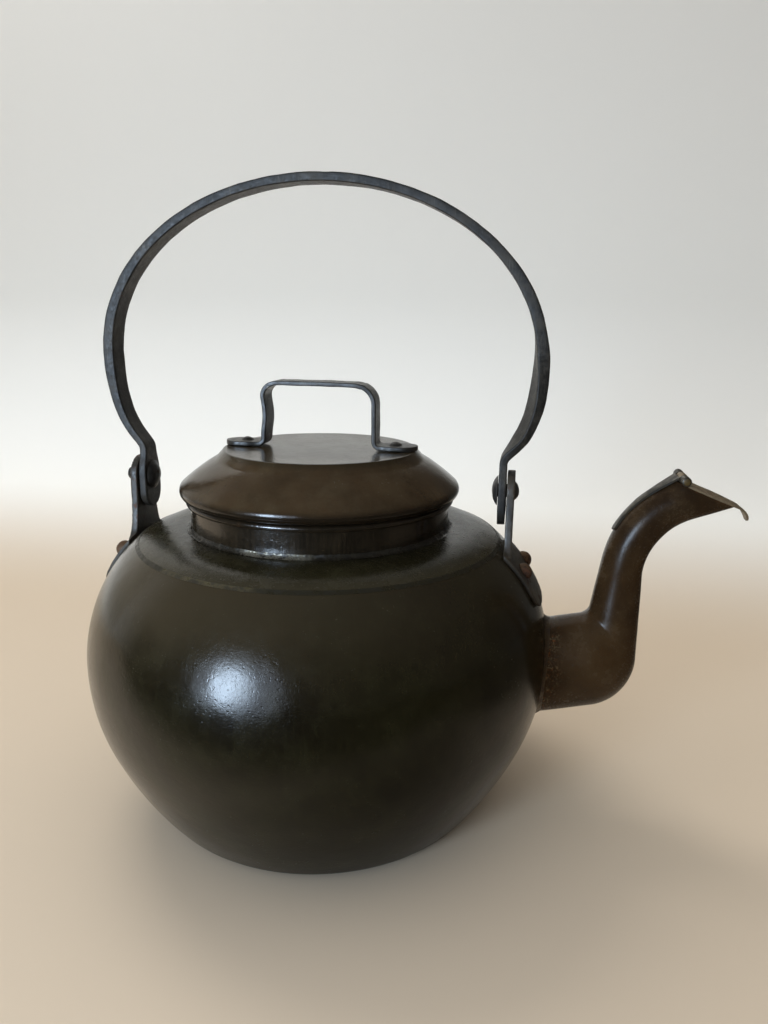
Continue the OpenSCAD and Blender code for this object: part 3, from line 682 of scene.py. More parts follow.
def cut_at(a, d):
    """How far along the tube the line at angle a meets the plane of the mouth."""
    low, high = head_at + 2, end_at
    for _ in range(24):
        middle = (low + high) / 2
        if past_mouth(on_spout(middle, a, d)) < 0:
            low = middle
        else:
            high = middle
    return low


def spout_lines(d, around, rows):
    """Rings of the spout at offset d. Past the bend they slant towards the mouth."""
    slant_from = head_at + 1
    half = rows // 2
    angles = clock(around)
    ends = [cut_at(a, d) for a in angles]
    rings = [[on_spout(slant_from * i / half, a, d) * mm for a in angles] for i in range(half)]
    for i in range(rows - half + 1):
        share = i / (rows - half)
        rings.append([on_spout(mix(slant_from, end, share), a, d) * mm for a, end in zip(angles, ends)])
    return rings


def spout_depth(p):
    return 0.22 * lumps(p, 26, 13) + 0.10 * lumps(p, 10, 14)


spout_outside = spout_lines(0, 96, 120)
spout_inside = spout_lines(-spout_wall, 96, 120)
spout = skinned("spout_copper", spout_outside + spout_inside[::-1], 40, closed=True, caps=False)
outward(spout)
worked(spout, spout_depth, 40)
print("spout:", len(spout.data.vertices), "points")

# %% [markdown]
# ## Solder at the spout's root
# The root was soft-soldered to the bowl. The fillet is lumpy, wanders over the
# bowl by a millimetre or two and thins out up the tube.

# %% Root solder
def root_fillet_rings(angles, rows):
    """Rings from the fillet's foot on the bowl to its head on the tube."""
    rings = []
    for j in range(rows + 1):
        s = j / rows
        ring = []
        for a in angles:
            way = Vector((math.cos(a), math.sin(a), 0))
            spread = root_fillet * (0.85 + 0.22 * noise.noise(way * 3) + 0.12 * noise.noise(way * 9))
            foot = on_root(spread, a, -0.4)
            corner = on_root(0.3, a, 0.25)
            head = on_spout(1, a, 0.15)
            ring.append(foot.lerp(corner, s).lerp(corner.lerp(head, s), s) * mm)
        rings.append(ring)
    return rings


def solder_depth(p):
    return 0.22 * lumps(p, 4, 15) + 0.14 * lumps(p, 1.6, 16)


round_root = clock(360)
under = [[on_spout(1, a, -0.3) * mm for a in round_root],
         [on_root(0, a, -0.7) * mm for a in round_root]]
root_tin = skinned("spout_tin", root_fillet_rings(round_root, 6) + under, 60, closed=True, caps=False)
outward(root_tin)
worked(root_tin, solder_depth, 80)
print("root solder:", len(root_tin.data.vertices), "points")

# %% [markdown]
# ## The hinge on the spout
# The fixed leaf is a scrap of tinned sheet, waisted and soldered along the back
# of the spout, bent to the tube. Its end is rolled into two knuckles, the flap
# has the one between them, and a brass wire runs through all three.

# %% Outline of the fixed leaf
hinge_w = 28
flap_knuckle_w = 10
knuckle_gap = 0.4
saddle_len = 50
saddle_w = 16
saddle_waist_w = 8
saddle_tail_w = 7
saddle_waist_at = 0.7
back_bend_c = along(back_line, beak_at) - left_of(back_way) * head_outer_r
saddle_straight = (back_end - along(back_line, beak_at)).length
saddle_bend = math.degrees((saddle_len - saddle_straight) / head_outer_r)


def saddle_line(d, n):
    bend = arc(back_bend_c, head_outer_r + d, 90 + head_back_angle + saddle_bend,
               90 + head_back_angle, n)
    return joined(bend, straight(bend[-1], back_end + left_of(back_way) * d, n // 4))


def leaf_flank(x, tail_x):
    """Half the width of the fixed leaf at x, from its waisted plan."""
    flank = bezier([(tail_x, saddle_tail_w / 2), (mix(tail_x, pin.x, saddle_waist_at),
                    saddle_waist_w / 2), (pin.x, saddle_w / 2)], 60)
    for a, b in zip(flank, flank[1:]):
        if x <= b.x:
            return mix(a.y, b.y, (x - a.x) / (b.x - a.x))
    return flank[-1].y


print("the leaf starts at x", round(saddle_line(seat, 48)[0].x, 2), "mm and ends at the pin")

# %% [markdown]
# Across its width the leaf hugs the tube, and towards the pin it becomes flat.
# Thin sheet never lies quite true, so it waves a little where it hugs the tube.

# %% Sections of the leaf
tube_r = 14.2
leaf_rows, leaf_columns = 48, 16


def leaf_rings():
    low, high = saddle_line(seat, leaf_rows), saddle_line(seat + leaf_t, leaf_rows)
    tail_x = high[0].x
    drop = -left_of(back_way)
    rings = []
    for i, (a, b) in enumerate(zip(low, high)):
        half = leaf_flank(min(max(a.x, tail_x), pin.x), tail_x)
        half -= 3.2 * max(0, 1 - i / 3) ** 2
        lie = 1 - ease((i / len(low) - 0.6) / 0.34)
        loose = 1 - ease((i / len(low) - 0.7) / 0.2)
        outer, inner = [], []
        for k in range(leaf_columns + 1):
            y = half * (2 * k / leaf_columns - 1)
            round_off = lie * 0.9 * (tube_r - math.sqrt(tube_r ** 2 - min(y * y, 150)))
            down = drop * (round_off + 0.25 * noise.noise(Vector((a.x * 0.12, y * 0.2, 3))) * loose)
            outer.append((b.x + down.x, y, b.y + down.y))
            inner.append((a.x + down.x, y, a.y + down.y))
        rings.append([Vector(p) * mm for p in outer + inner[::-1]])
    return rings


leaf_plate = skinned("leaf_plate", leaf_rings(), 40)
outward(leaf_plate)

# %% [markdown]
# A knuckle is spun about the pin, as the bowl is spun about the pot's axis. The
# leaf's end is cut round to meet it and notched for the flap's own knuckle.
# What is one piece on the real pot is joined into one object.

# %% Knuckles
def round_pin(r, a, y):
    """A point at radius r and angle a about the hinge pin."""
    return Vector((pin.x + r * math.cos(a), y, pin.y + r * math.sin(a))) * mm


def barrel(name, y0, y1, r, hole, flat=0.26):
    """A rolled knuckle from y0 to y1 about the pin, with softened ends."""
    profile = [(hole, y0), (r - flat * 3, y0), (r - flat, y0 + flat), (r, y0 + flat * 3),
               (r, (y0 + y1) / 2), (r, y1 - flat * 3), (r - flat, y1 - flat), (r - flat * 3, y1), (hole, y1)]
    rings = [[round_pin(q, a, y) for q, y in profile] for a in clock(48)]
    obj = skinned(name, rings, 30, closed=True, caps=False)
    outward(obj)
    return obj


def merged(name, objects):
    """Several objects as one, each keeping its own material."""
    with bpy.context.temp_override(active_object=objects[0], selected_editable_objects=objects):
        bpy.ops.object.join()
    objects[0].name = name
    return objects[0]


outer_y = flap_knuckle_w / 2 + knuckle_gap
drill(leaf_plate, (pin.x, -20, pin.y), (pin.x, 20, pin.y), knuckle_r - 0.5)
notch_low = pin.x - knuckle_r - knuckle_gap


def slab(name, low, high):
    """A plain block between two corners in mm."""
    plan = ((low[0], low[1]), (high[0], low[1]), (high[0], high[1]), (low[0], high[1]))
    block = skinned(name, [[Vector((x, y, z)) * mm for x, y in plan] for z in (low[2], high[2])])
    outward(block)
    return block


notch_len = 20
below_leaf, above_leaf = 200, 240
cut_away(leaf_plate, slab("notch", (notch_low, -outer_y, below_leaf),
                          (notch_low + notch_len, outer_y, above_leaf)))
leaf = merged("spout_leaf", [
    leaf_plate,
    barrel("knuckle_near", -hinge_w / 2, -outer_y, knuckle_r, pin_r + 0.02),
    barrel("knuckle_far", outer_y, hinge_w / 2, knuckle_r, pin_r + 0.02),
])
print("fixed leaf:", len(leaf.data.vertices), "points")

# %% Hinge pin
pin_half = hinge_w / 2 + 0.55
head_r = pin_r + 0.55
tiny_r = 0.02
pin_profile = [(tiny_r, -pin_half), (head_r * 0.6, -pin_half), (head_r, -pin_half + 0.2),
               (head_r, -hinge_w / 2 - 0.06), (pin_r, -hinge_w / 2 - 0.05)]
pin_profile += [(r, -y) for r, y in reversed(pin_profile)]
rings = [[round_pin(r, a, y) for a in clock(32)] for r, y in pin_profile]
hinge_pin = skinned("hinge_wire", rings, 40)
outward(hinge_pin)
print("hinge pin:", 2 * pin_half, "mm long")

# %% [markdown]
# The flap is dished slightly so that it sheds drips, follows the outline of the
# mouth, and ends in a curled tip to lift it by.

# %% Flap
flap_w = 22.5
tip_w = 7
tip_len = 10
tip_curl = 60
tip_r = tip_len / (2 * math.sin(math.radians(tip_curl / 2)))
plate_u = pin_u + knuckle_r + knuckle_gap


def on_mouth(u, y, n):
    """A point in the frame of the mouth: u down the slope, n square to it."""
    p = lip + mouth_way * u + left_of(mouth_way) * n
    return Vector((p.x, y, p.y))


def flap_rings():
    tip_u = tip_r * math.sin(math.radians(tip_curl))
    edge = bezier([(plate_u, flap_w / 2), (mix(plate_u, 0, 0.6), flap_w / 2), (0, flap_w / 2 - 2),
                   (tip_u + leaf_t, tip_w / 2)], 80)
    rows = 44
    rings = []
    for i in range(rows + 1):
        s = i / rows * (-plate_u + tip_r * math.radians(tip_curl))
        flat_len = -plate_u
        if s < flat_len:
            u, n, turn = plate_u + s, lid_seat, 0
        else:
            turn = (s - flat_len) / tip_r
            u, n = tip_r * math.sin(turn), lid_seat - tip_r * (1 - math.cos(turn))
        half = next((mix(a.y, b.y, (u - a.x) / max(b.x - a.x, 1e-6)) for a, b in zip(edge, edge[1:])
                     if u <= b.x), tip_w / 2)
        half -= 2.2 * max(0, 1 - (rows - i) / 3) ** 2
        crown = 1.0 * math.sin(math.pi * min(1, max(0, (u - plate_u) / (2 - plate_u))))
        over, below = [], []
        for k in range(15):
            v = k / 7 - 1
            lift = crown * (1 - v * v) + 0.15 * noise.noise(Vector((u * 0.2, v * 2, 5)))
            out = Vector((math.sin(turn), math.cos(turn)))
            over.append(on_mouth(u + out.x * (leaf_t + lift), half * v, n + out.y * (leaf_t + lift)))
            below.append(on_mouth(u + out.x * max(lift, 0), half * v, n + out.y * max(lift, 0)))
        rings.append([p * mm for p in over + below[::-1]])
    return rings


flap_plate = skinned("flap_plate", flap_rings(), 40)
outward(flap_plate)
half = flap_knuckle_w / 2
tongue_low, tongue_high = lid_seat + 0.02, lid_seat + leaf_t - 0.05
tongue_corners = ((-half, tongue_low), (half, tongue_low), (half, tongue_high), (-half, tongue_high))
tongue = skinned("tongue", [[on_mouth(u, y, n) * mm for y, n in tongue_corners]
                            for u in (pin_u + 0.6, plate_u + 1.5)])
outward(tongue)
drill(tongue, (pin.x, -20, pin.y), (pin.x, 20, pin.y), knuckle_r - 0.4)
flap = merged("flap_leaf", [
    flap_plate,
    tongue,
    barrel("flap_knuckle", -half, half, knuckle_r, pin_r + 0.06),
])
print("flap:", len(flap.data.vertices), "points")

# %% [markdown]
# ## Forged straps
# The swing handle and the lid's handle are flat bars, drawn out and bent hot. A
# bar is made here as a smith sees it: a middle line, a width and a thickness
# that change along it, and edges that the hammer has rounded. The two faces and
# the edges are then dented a little, so that no edge is quite straight.

# %% Straps
def bar_section(w, t, r, flats=10, sides=3):
    """A rounded rectangle, w across and t thick, as points from its middle."""
    r = min(r, w / 2.02, t / 2.02)
    corners = [(w / 2 - r, t / 2 - r, 0), (r - w / 2, t / 2 - r, 90),
               (r - w / 2, r - t / 2, 180), (w / 2 - r, r - t / 2, 270)]
    points = []
    for i, (x, y, start) in enumerate(corners):
        points += arc((x, y), r, start, start + 90, 4)
        nx, ny, _ = corners[(i + 1) % 4]
        end = Vector((nx, ny)) + r * toward(start + 90)
        count = flats if i % 2 == 0 else sides
        points += straight(points[-1], end, count)[1:-1]
    return points


def strap(name, line, width, thick, round_r, twist=None):
    """A bar along a line of (x, z) points in mm. width, thick and twist, in
    degrees, are functions of the index. Its sections are square to the line."""
    rings = []
    for i, p in enumerate(line):
        way = (line[min(i + 1, len(line) - 1)] - line[max(i - 1, 0)]).normalized()
        out = left_of(way)
        ring = []
        turn = math.radians(twist(i)) if twist else 0
        for across, off in bar_section(width(i), thick(i), round_r):
            across, off = (across * math.cos(turn) - off * math.sin(turn),
                           across * math.sin(turn) + off * math.cos(turn))
            q = p + out * off
            ring.append(Vector((q.x, across, q.y)) * mm)
        rings.append(ring)
    obj = skinned(name, rings, 50)
    outward(obj)
    return obj


def evenly(line, step):
    """The same open line with points about step apart."""
    lengths = [0]
    for a, b in zip(line, line[1:]):
        lengths.append(lengths[-1] + (b - a).length)
    count = max(2, round(lengths[-1] / step))
    made, j = [], 0
    for i in range(count + 1):
        want = lengths[-1] * i / count
        while j < len(line) - 2 and lengths[j + 1] < want:
            j += 1
        span = max(lengths[j + 1] - lengths[j], 1e-9)
        made.append(line[j].lerp(line[j + 1], (want - lengths[j]) / span))
    return made

# %% [markdown]
# The swing handle is one bar: flattened and drilled at both ends for the
# pivots, thickest at the shoulders and thinner over the crown. It was wrung a
# little above its end on the spout's side, so its flat shows there. It is made
# upright, in the place where it rests, and its body turns it later.

# %% Middle line of the swing handle
ear_half = body_r - 28.6
ear_shift = 1.2
pivot_z = belly_z + 102
swing_gap = 0.35
pivot_r = 4
pivot_play = 0.08
bail_top_rise = 179.5
bail_wide_z = pivot_z + 77
bail_half = ear_half + 19.6
bail_w = 14.5
bail_crown_t = 5.4
bail_side_t = 7.2
bail_end_t = 5
bail_end_half = 10.5
bail_tail = 21
bail_neck = 17
bail_hip = 48
bail_heel = 8

bail_x = ear_half - swing_gap - bail_end_t / 2
bail_side = Vector((bail_half - bail_side_t / 2, bail_wide_z))
bail_rise = pivot_z + bail_top_rise - bail_crown_t / 2 - bail_wide_z
bail_foot = Vector((bail_x, pivot_z + bail_neck))
half_line = evenly(joined(
    straight((bail_x, pivot_z - bail_tail), bail_foot, 20),
    bezier([bail_foot, bail_foot + Vector((0, bail_heel)), bail_side - Vector((0, bail_hip)),
            bail_side], 60),
    [Vector((bail_side.x * math.cos(a), bail_wide_z + bail_rise * math.sin(a)))
     for a in (math.pi / 2 * i / 90 for i in range(91))],
), 1.6)
bail_line = joined(half_line, [Vector((-p.x, p.y)) for p in reversed(half_line)])
bail_height = [p.y for p in bail_line]
print("swing handle: up to", round(max(bail_height), 1), "mm along its middle")

# %% [markdown]
# A bar that is drawn out by hand keeps its section roughly, not exactly, so a
# slow noise runs through both its width and its thickness.

# %% Swing handle
def bail_width(i):
    z = bail_height[i]
    plate_low = pivot_z - bail_tail + bail_end_half
    if z < plate_low:
        return 2 * math.sqrt(max(bail_end_half ** 2 - (plate_low - z) ** 2, 1.5))
    drawn = ease((z - pivot_z - 2) / 15)
    uneven = 0.35 * noise.noise(Vector((i * 0.05, 1, 0)))
    return mix(2 * bail_end_half, bail_w + uneven, drawn)


def bail_thick(i):
    z = bail_height[i]
    side = ease((z - bail_foot.y) / (bail_wide_z - bail_foot.y))
    crown = ease((z - bail_wide_z) / bail_rise)
    even = mix(mix(bail_end_t, bail_side_t, side), bail_crown_t, crown)
    return even - 0.25 + 0.2 * noise.noise(Vector((i * 0.07, 5, 0)))


def bail_twist(i):
    """Degrees of the wring above the flattened end on the spout's side."""
    z = bail_height[i]
    here = ease((z - bail_foot.y - 1) / 16) * (1 - ease((z - bail_foot.y - 30) / 52))
    return 21 * here if i < len(bail_line) / 2 else 0


def forged_depth(p):
    """Hammer dents, scale and pits of forged iron."""
    blows = 0.22 * lumps(p, 12, 17) - 0.12 * facets(p, 8)
    pits = -0.10 * max(0, lumps(p, 2.4, 18) - 0.25)
    return blows + pits


bail = strap("bail_iron", bail_line, bail_width, bail_thick, 0.9, bail_twist)
bail.data.transform(Matrix.Translation((-ear_shift * mm, 0, 0)))
worked(bail, forged_depth, 50)
for side in (-1, 1):
    x = side * bail_x - ear_shift
    drill(bail, (x - 8, 0, pivot_z), (x + 8, 0, pivot_z), pivot_r + pivot_play)
print("swing handle:", len(bail.data.vertices), "points")

# %% [markdown]
# The lid's handle is a thinner strap. Its left leg was bent by eye and isn't
# straight: it leans out under the corner and in again above the foot.

# %% Middle line of the lid's handle
grip_h = 40.5
grip_half = lid_top_r - 24
grip_w = 16
grip_t = 3
grip_corner_r = 14
grip_bend_r = 2
grip_foot_r = 9.5
grip_foot_len = 24.5
lid_rivet_gap = 11
grip_reach = grip_half + grip_foot_len
grip_mid_r = grip_bend_r + grip_t / 2
grip_top = lid_z + grip_h - grip_t / 2
grip_low = lid_z + grip_t / 2


def grip_side(corner_r):
    """The middle line from the end of a foot up to the middle of the top."""
    x = grip_half - grip_t / 2
    foot_end = Vector((grip_reach, grip_low))
    return joined(
        straight(foot_end, (grip_half + grip_bend_r, grip_low), 12),
        arc((grip_half + grip_bend_r, grip_low + grip_mid_r), grip_mid_r, 270, 180, 8),
        straight((x, grip_low + grip_mid_r), (x, grip_top - corner_r), 14),
        arc((x - corner_r, grip_top - corner_r), corner_r, 0, 90, 14),
        straight((x - corner_r, grip_top), (0, grip_top), 12),
    )


right_side = grip_side(grip_corner_r - grip_t / 2)
left_side = [Vector((-p.x, p.y)) for p in grip_side(grip_corner_r - grip_t / 2 - 3.5)]
grip_line = evenly(joined(left_side, list(reversed(right_side))), 1.2)


def bent(p):
    """The unevenness of the hand-bent strap."""
    h = (p.y - grip_low) / grip_h
    sway = 0
    if p.x < -20:
        sway = 1.3 * math.sin(math.pi * min(1, max(0, (h - 0.12) / 0.8))) * math.sin(h * 4.2)
    lift = -0.5 * ease((abs(p.x + 8) - 5) / 40) if h > 0.9 else 0
    return Vector((p.x + sway, p.y + lift))


grip_line = [bent(p) for p in grip_line]
print("lid handle:", len(grip_line), "sections")

# %% [markdown]
# Both ends are beaten out to round feet and drilled for their rivets. The feet
# lie flat on the lid, so the hammer's noise fades out just above it.

# %% Lid handle
def grip_width(i):
    p = grip_line[i]
    round_x = grip_reach - grip_foot_r
    if abs(p.x) > round_x:
        return 2 * math.sqrt(max(grip_foot_r ** 2 - (abs(p.x) - round_x) ** 2, 2))
    foot = ease((abs(p.x) - grip_half - 2) / 8)
    return mix(grip_w, 2 * grip_foot_r, foot) + 0.5 * noise.noise(Vector((i * 0.09, 9, 0)))


def grip_thick(i):
    return grip_t - 0.3 + 0.2 * noise.noise(Vector((i * 0.08, 7, 2)))


grip = strap("lid_strap", grip_line, grip_width, grip_thick, 0.55)


def grip_depth(p):
    resting = ease((p.z - (lid_z + 1.2) * mm) / (3 * mm))
    return (0.2 * lumps(p, 9, 19) - 0.06 * facets(p, 6)) * resting


worked(grip, grip_depth, 50)
for side in (-1, 1):
    x = side * (grip_half + lid_rivet_gap)
    drill(grip, (x, 0, lid_z - 5), (x, 0, lid_z + 12), 2.02)
print("lid handle:", len(grip.data.vertices), "points")

# %% [markdown]
# ## The ears
# An ear is a forged tab on a foot that hugs the bowl. Its shape in the solid is
# right but sharp. A voxel remesh turns it into an even skin, a little smoothing
# rounds every edge as a file and years of use do, and the hammer's noise is
# added at the end.

# %% Ears
def forged(node, name, size=0.62, passes=5):
    """A worn, dented copy of a solid that has sharp edges."""
    source = nodes[node].data
    corners = [v.co.copy() for v in source.vertices]
    obj = finished(name, corners, [list(f.vertices) for f in source.polygons])
    weld = obj.modifiers.new("weld", "WELD")
    weld.merge_threshold = 0.01 * mm
    skin = obj.modifiers.new("skin", "REMESH")
    skin.mode = "VOXEL"
    skin.voxel_size = size * mm
    soft = obj.modifiers.new("soft", "SMOOTH")
    soft.iterations = passes
    soft.factor = 0.5
    applied(obj, 60)
    worked(obj, lambda p: forged_depth(p) * 0.8 + 0.05, 60)
    return obj


ear_front = forged("ear_front", "ear_near_spout")
ear_rear = forged("ear_rear", "ear_far")
print("ears:", len(ear_front.data.vertices), len(ear_rear.data.vertices), "points")

# %% [markdown]
# ## Rivets and pivots
# Every head was closed with a hammer, so each is a low dome that isn't quite
# round. One function spins a shank with a head at each end, and a place matrix
# puts it square to its wall.

# %% Rivets
def dome_line(r, h, n=8):
    """Outline of a dome on z = 0, from its edge to its top."""
    ball = (r * r + h * h) / (2 * h)
    start = math.degrees(math.asin(min(1, r / ball)))
    if h > r:
        start = 180 - start
    return arc((0, h - ball), ball, 90 - start, 90, n)


def riveted(name, place, shank_r, head, foot, length, seed, dents=0.3):
    """A rivet whose head sits on z = 0 and whose shank goes down by length.
    head and foot are (radius, height) of the domes at its ends."""
    top = dome_line(*head)
    low = [Vector((p.x, -length - p.y)) for p in reversed(dome_line(*foot))]
    outline = low + [Vector((shank_r, -length)), Vector((shank_r, 0))] + top
    obj = turned(name, outline, 56, 60)
    outward(obj)
    worked(obj, lambda p: dents * lumps(p, 4, seed) * ease((p.z / mm + 0.5) / 2.5), 60)
    obj.data.transform(place)
    obj.data.update()
    return obj


ear_t = 4.5
foot_t = 2.4
foot_z = belly_z + 36
foot_rivet_z = foot_z + 18.5
rear_foot_more = 4.5
foot_rivet_gap = 25
rove_t = 1
foot_rivet_angle = math.asin((foot_rivet_z - belly_z) / crown_curve_r)
foot_out_r = crown_curve_r + seat + foot_t
ear_head, ear_rivet_foot, ear_shank_r = (5.2, 4.2), (3.6, 1.2), 2.6
lid_head, lid_rivet_foot, lid_shank_r = (4, 1.8), (3, 1.2), 2
rove_at = crown_curve_r - wall - seat - ear_head[0] ** 2 / (2 * (crown_curve_r - wall))


def foot_rivet_place(end, side):
    gap = foot_rivet_gap / 2 + end * rear_foot_more
    turn = math.asin(gap / body_at(foot_rivet_z))
    return (Matrix.Rotation(end * math.pi + side * turn, 4, "Z")
            @ Matrix.Translation((crown_c.x * mm, 0, crown_c.y * mm))
            @ Matrix.Rotation(math.pi / 2 - foot_rivet_angle, 4, "Y")
            @ Matrix.Translation((0, 0, (foot_out_r + seat) * mm)))


ear_rivets = []
for end, node in enumerate(("ear_rivets_front", "ear_rivets_rear")):
    pair = [riveted("ear_rivet", foot_rivet_place(end, side), ear_shank_r, ear_head, ear_rivet_foot,
                    foot_out_r + seat - rove_at + rove_t, 20 + 2 * end + side)
            for side in (-1, 1)]
    ear_rivets.append(merged(node + "_forged", pair))

pair = []
for side in (-1, 1):
    place = Matrix.Translation((side * (grip_half + lid_rivet_gap) * mm, 0, (lid_z + grip_t) * mm))
    pair.append(riveted("lid_rivet", place, lid_shank_r, lid_head, lid_rivet_foot,
                        grip_t + lid_wall + rove_t, 30 + side))
lid_rivets = merged("lid_rivets_forged", pair)
print("rivets:", [len(obj.data.vertices) for obj in (*ear_rivets, lid_rivets)], "points")

# %% [markdown]
# The swing handle's pivots are heavier: a broad flat dome inside the handle and
# a peened end outside the ear. The rear one was cut too long and its shank
# stands out past the peening.

# %% Pivots
pivot_head = (9.2, 3.6)
peen = (6, 2.8)
stub_edge = 0.6


def pivot(name, end, stub, seed):
    inner = ear_half - 2 * swing_gap - bail_end_t
    outer = ear_half + ear_t
    head = [Vector((p.x, inner - p.y)) for p in reversed(dome_line(*pivot_head, 14))]
    over = [Vector((p.x, outer + p.y)) for p in dome_line(*peen, 10)]
    if stub:
        tip = outer + peen[1] + stub
        over = [p for p in over if p.x > pivot_r] + [
            Vector((pivot_r, outer + peen[1] * 0.62)), Vector((pivot_r, tip - stub_edge)),
            Vector((pivot_r - stub_edge, tip)), Vector((0, tip))]
    outline = head + [Vector((pivot_r, inner)), Vector((pivot_r, outer))] + over
    obj = turned(name, outline, 72, 55)
    outward(obj)

    def depth(p):
        on_head = p.z / mm < inner - 0.4 or p.z / mm > outer + 0.4
        return (0.28 * lumps(p, 5, seed) - 0.1 * facets(p, 4)) * on_head - 0.05

    worked(obj, depth, 55)
    obj.data.transform(Matrix.Translation((-ear_shift * mm, 0, pivot_z * mm))
                       @ Matrix.Rotation(end * math.pi, 4, "Z") @ Matrix.Rotation(math.pi / 2, 4, "Y"))
    obj.data.update()
    return obj


rear_stub = 3.4
pivot_front = pivot("pivot_near_spout", 0, 0, 40)
pivot_rear = pivot("pivot_far", 1, rear_stub, 41)
print("pivots:", len(pivot_front.data.vertices), len(pivot_rear.data.vertices), "points")

# %% [markdown]
# ## Building finishes
# A finish is a network of nodes. `Net` writes one: each call adds a node and
# gives its output, so a network reads like arithmetic. Every pattern takes the
# object's own coordinates, which are the pot's metres, so sizes are real and a
# pattern runs on from one piece to the next.

# %% Node helpers
class Net:
    def __init__(self, tree):
        self.tree = tree

    def node(self, kind, inputs=None, output=0, **settings):
        made = self.tree.nodes.new("ShaderNode" + kind)
        for key, value in settings.items():
            setattr(made, key, value)
        for key, value in (inputs or {}).items():
            if isinstance(value, bpy.types.NodeSocket):
                self.tree.links.new(value, made.inputs[key])
            else:
                made.inputs[key].default_value = value
        return made.outputs[output]

    def math(self, operation, a, b=0.0):
        return self.node("Math", {0: a, 1: b}, operation=operation)

    def plus(self, a, b):
        return self.math("ADD", a, b)

    def minus(self, a, b):
        return self.math("SUBTRACT", a, b)

    def times(self, a, b):
        return self.math("MULTIPLY", a, b)

    def span(self, value, low, high, to_low=0.0, to_high=1.0):
        """The value's range low to high as to_low to to_high, with soft ends."""
        return self.node("MapRange", {0: value, 1: low, 2: high, 3: to_low, 4: to_high},
                         interpolation_type="SMOOTHSTEP")

    def blend(self, share, a, b, how="MIX"):
        return self.node("Mix", {0: share, 6: a, 7: b}, 2, data_type="RGBA", blend_type=how)

    def place(self):
        return self.node("TexCoord", output="Object")

    def xyz(self):
        return self.node("SeparateXYZ", {0: self.place()}).node.outputs

    def reach(self, x, y):
        """The distance from the pot's axis."""
        return self.math("SQRT", self.plus(self.times(x, x), self.times(y, y)))

    def noise(self, size, detail=2.0, rough=0.5, at=None, turn=0.0):
        """Soft noise about 0 to 1 with lumps of size mm."""
        away = (turn, turn * 0.7, turn * 0.4)
        spot = self.node("Mapping", {"Vector": at or self.place(), "Location": away})
        return self.node("TexNoise", {"Vector": spot, "Scale": 1 / (size * mm), "Detail": detail,
                                      "Roughness": rough})


def rgb(r, g, b):
    """A colour written in 8-bit sRGB as linear light."""
    linear = [c / 255 / 12.92 if c <= 10 else ((c / 255 + 0.055) / 1.055) ** 2.4 for c in (r, g, b)]
    return (*linear, 1.0)

# %% [markdown]
# An effect that several finishes share is a node group with named inputs and
# outputs, built once. A group gives only colours, masks and heights. The shader
# itself stays in the material.

# %% Node groups
def effect(name, inputs, outputs):
    """An empty node group with its sockets. Returns the group, its network, its
    inputs and a function that connects an output."""
    tree = bpy.data.node_groups.new(name, "ShaderNodeTree")
    for label, value in inputs.items():
        kind = "NodeSocketColor" if isinstance(value, tuple) else "NodeSocketFloat"
        socket = tree.interface.new_socket(label, in_out="INPUT", socket_type=kind)
        socket.default_value = value
    for label, kind in outputs.items():
        tree.interface.new_socket(label, in_out="OUTPUT", socket_type="NodeSocket" + kind)
    entry = tree.nodes.new("NodeGroupInput").outputs
    leave = tree.nodes.new("NodeGroupOutput").inputs

    def give(label, socket):
        tree.links.new(socket, leave[label])

    return tree, Net(tree), entry, give

# %% [markdown]
# ### Shared effects
# Old copper darkens unevenly: cloudy stains as wide as a hand, blotches where
# drops dried, specks and tiny pits, and hairline scratches from scouring. One
# group makes them all from three colours, so every copper piece has the same
# skin in its own shade.

# %% Patina
patina, n, given, give = effect(
    "patina",
    {"Ground": rgb(60, 48, 34), "Dark": rgb(30, 24, 16), "Pale": rgb(96, 88, 72)},
    {"Colour": "Color", "Roughness": "Float", "Height": "Float"})
clouds = n.noise(75, 3, 0.55)
blots = n.noise(17, 4, 0.6, turn=1.3)
small = n.noise(4.5, 5, 0.7, turn=2.1)
specks = n.noise(1.3, 2, 0.6, turn=3.7)
dark_share = n.span(n.plus(clouds, n.times(small, 0.3)), 0.42, 0.86)
pale_share = n.span(n.plus(blots, n.times(small, 0.5)), 0.62, 1.02, 0, 0.45)
tone = n.blend(dark_share, given["Ground"], given["Dark"])
tone = n.blend(pale_share, tone, given["Pale"])
tone = n.blend(n.span(specks, 0.58, 0.74, 0, 0.45), tone, given["Dark"])
tone = n.blend(n.span(n.noise(1.0, 2, 0.5, turn=5.1), 0.70, 0.78, 0, 0.45), tone, given["Pale"])
give("Colour", tone)
rough = n.plus(n.span(small, 0.3, 0.7, 0.0, 0.04), n.span(blots, 0.35, 0.7, 0.0, 0.05))
give("Roughness", n.plus(rough, n.span(specks, 0.6, 0.7, 0.0, 0.08)))
brushed = n.node("Mapping", {"Vector": n.place(), "Scale": (0.22, 0.22, 1.0)})
grain = n.plus(n.times(n.noise(0.8, 2, 0.6, at=brushed), 0.022),
               n.times(n.noise(1.5, 2, 0.6), 0.036))
waves = n.times(n.noise(5.0, 3, 0.5), 0.06)
pits = n.times(n.span(n.noise(1.6, 1, 0.5, turn=6.2), 0.60, 0.80), -0.035)
give("Height", n.plus(n.plus(grain, waves), pits))
print("patina:", len(patina.nodes), "nodes")

# %% [markdown]
# Scouring leaves hairlines in all directions, long and very thin. They are
# the edges of a stretched cell pattern, broken up by noise.

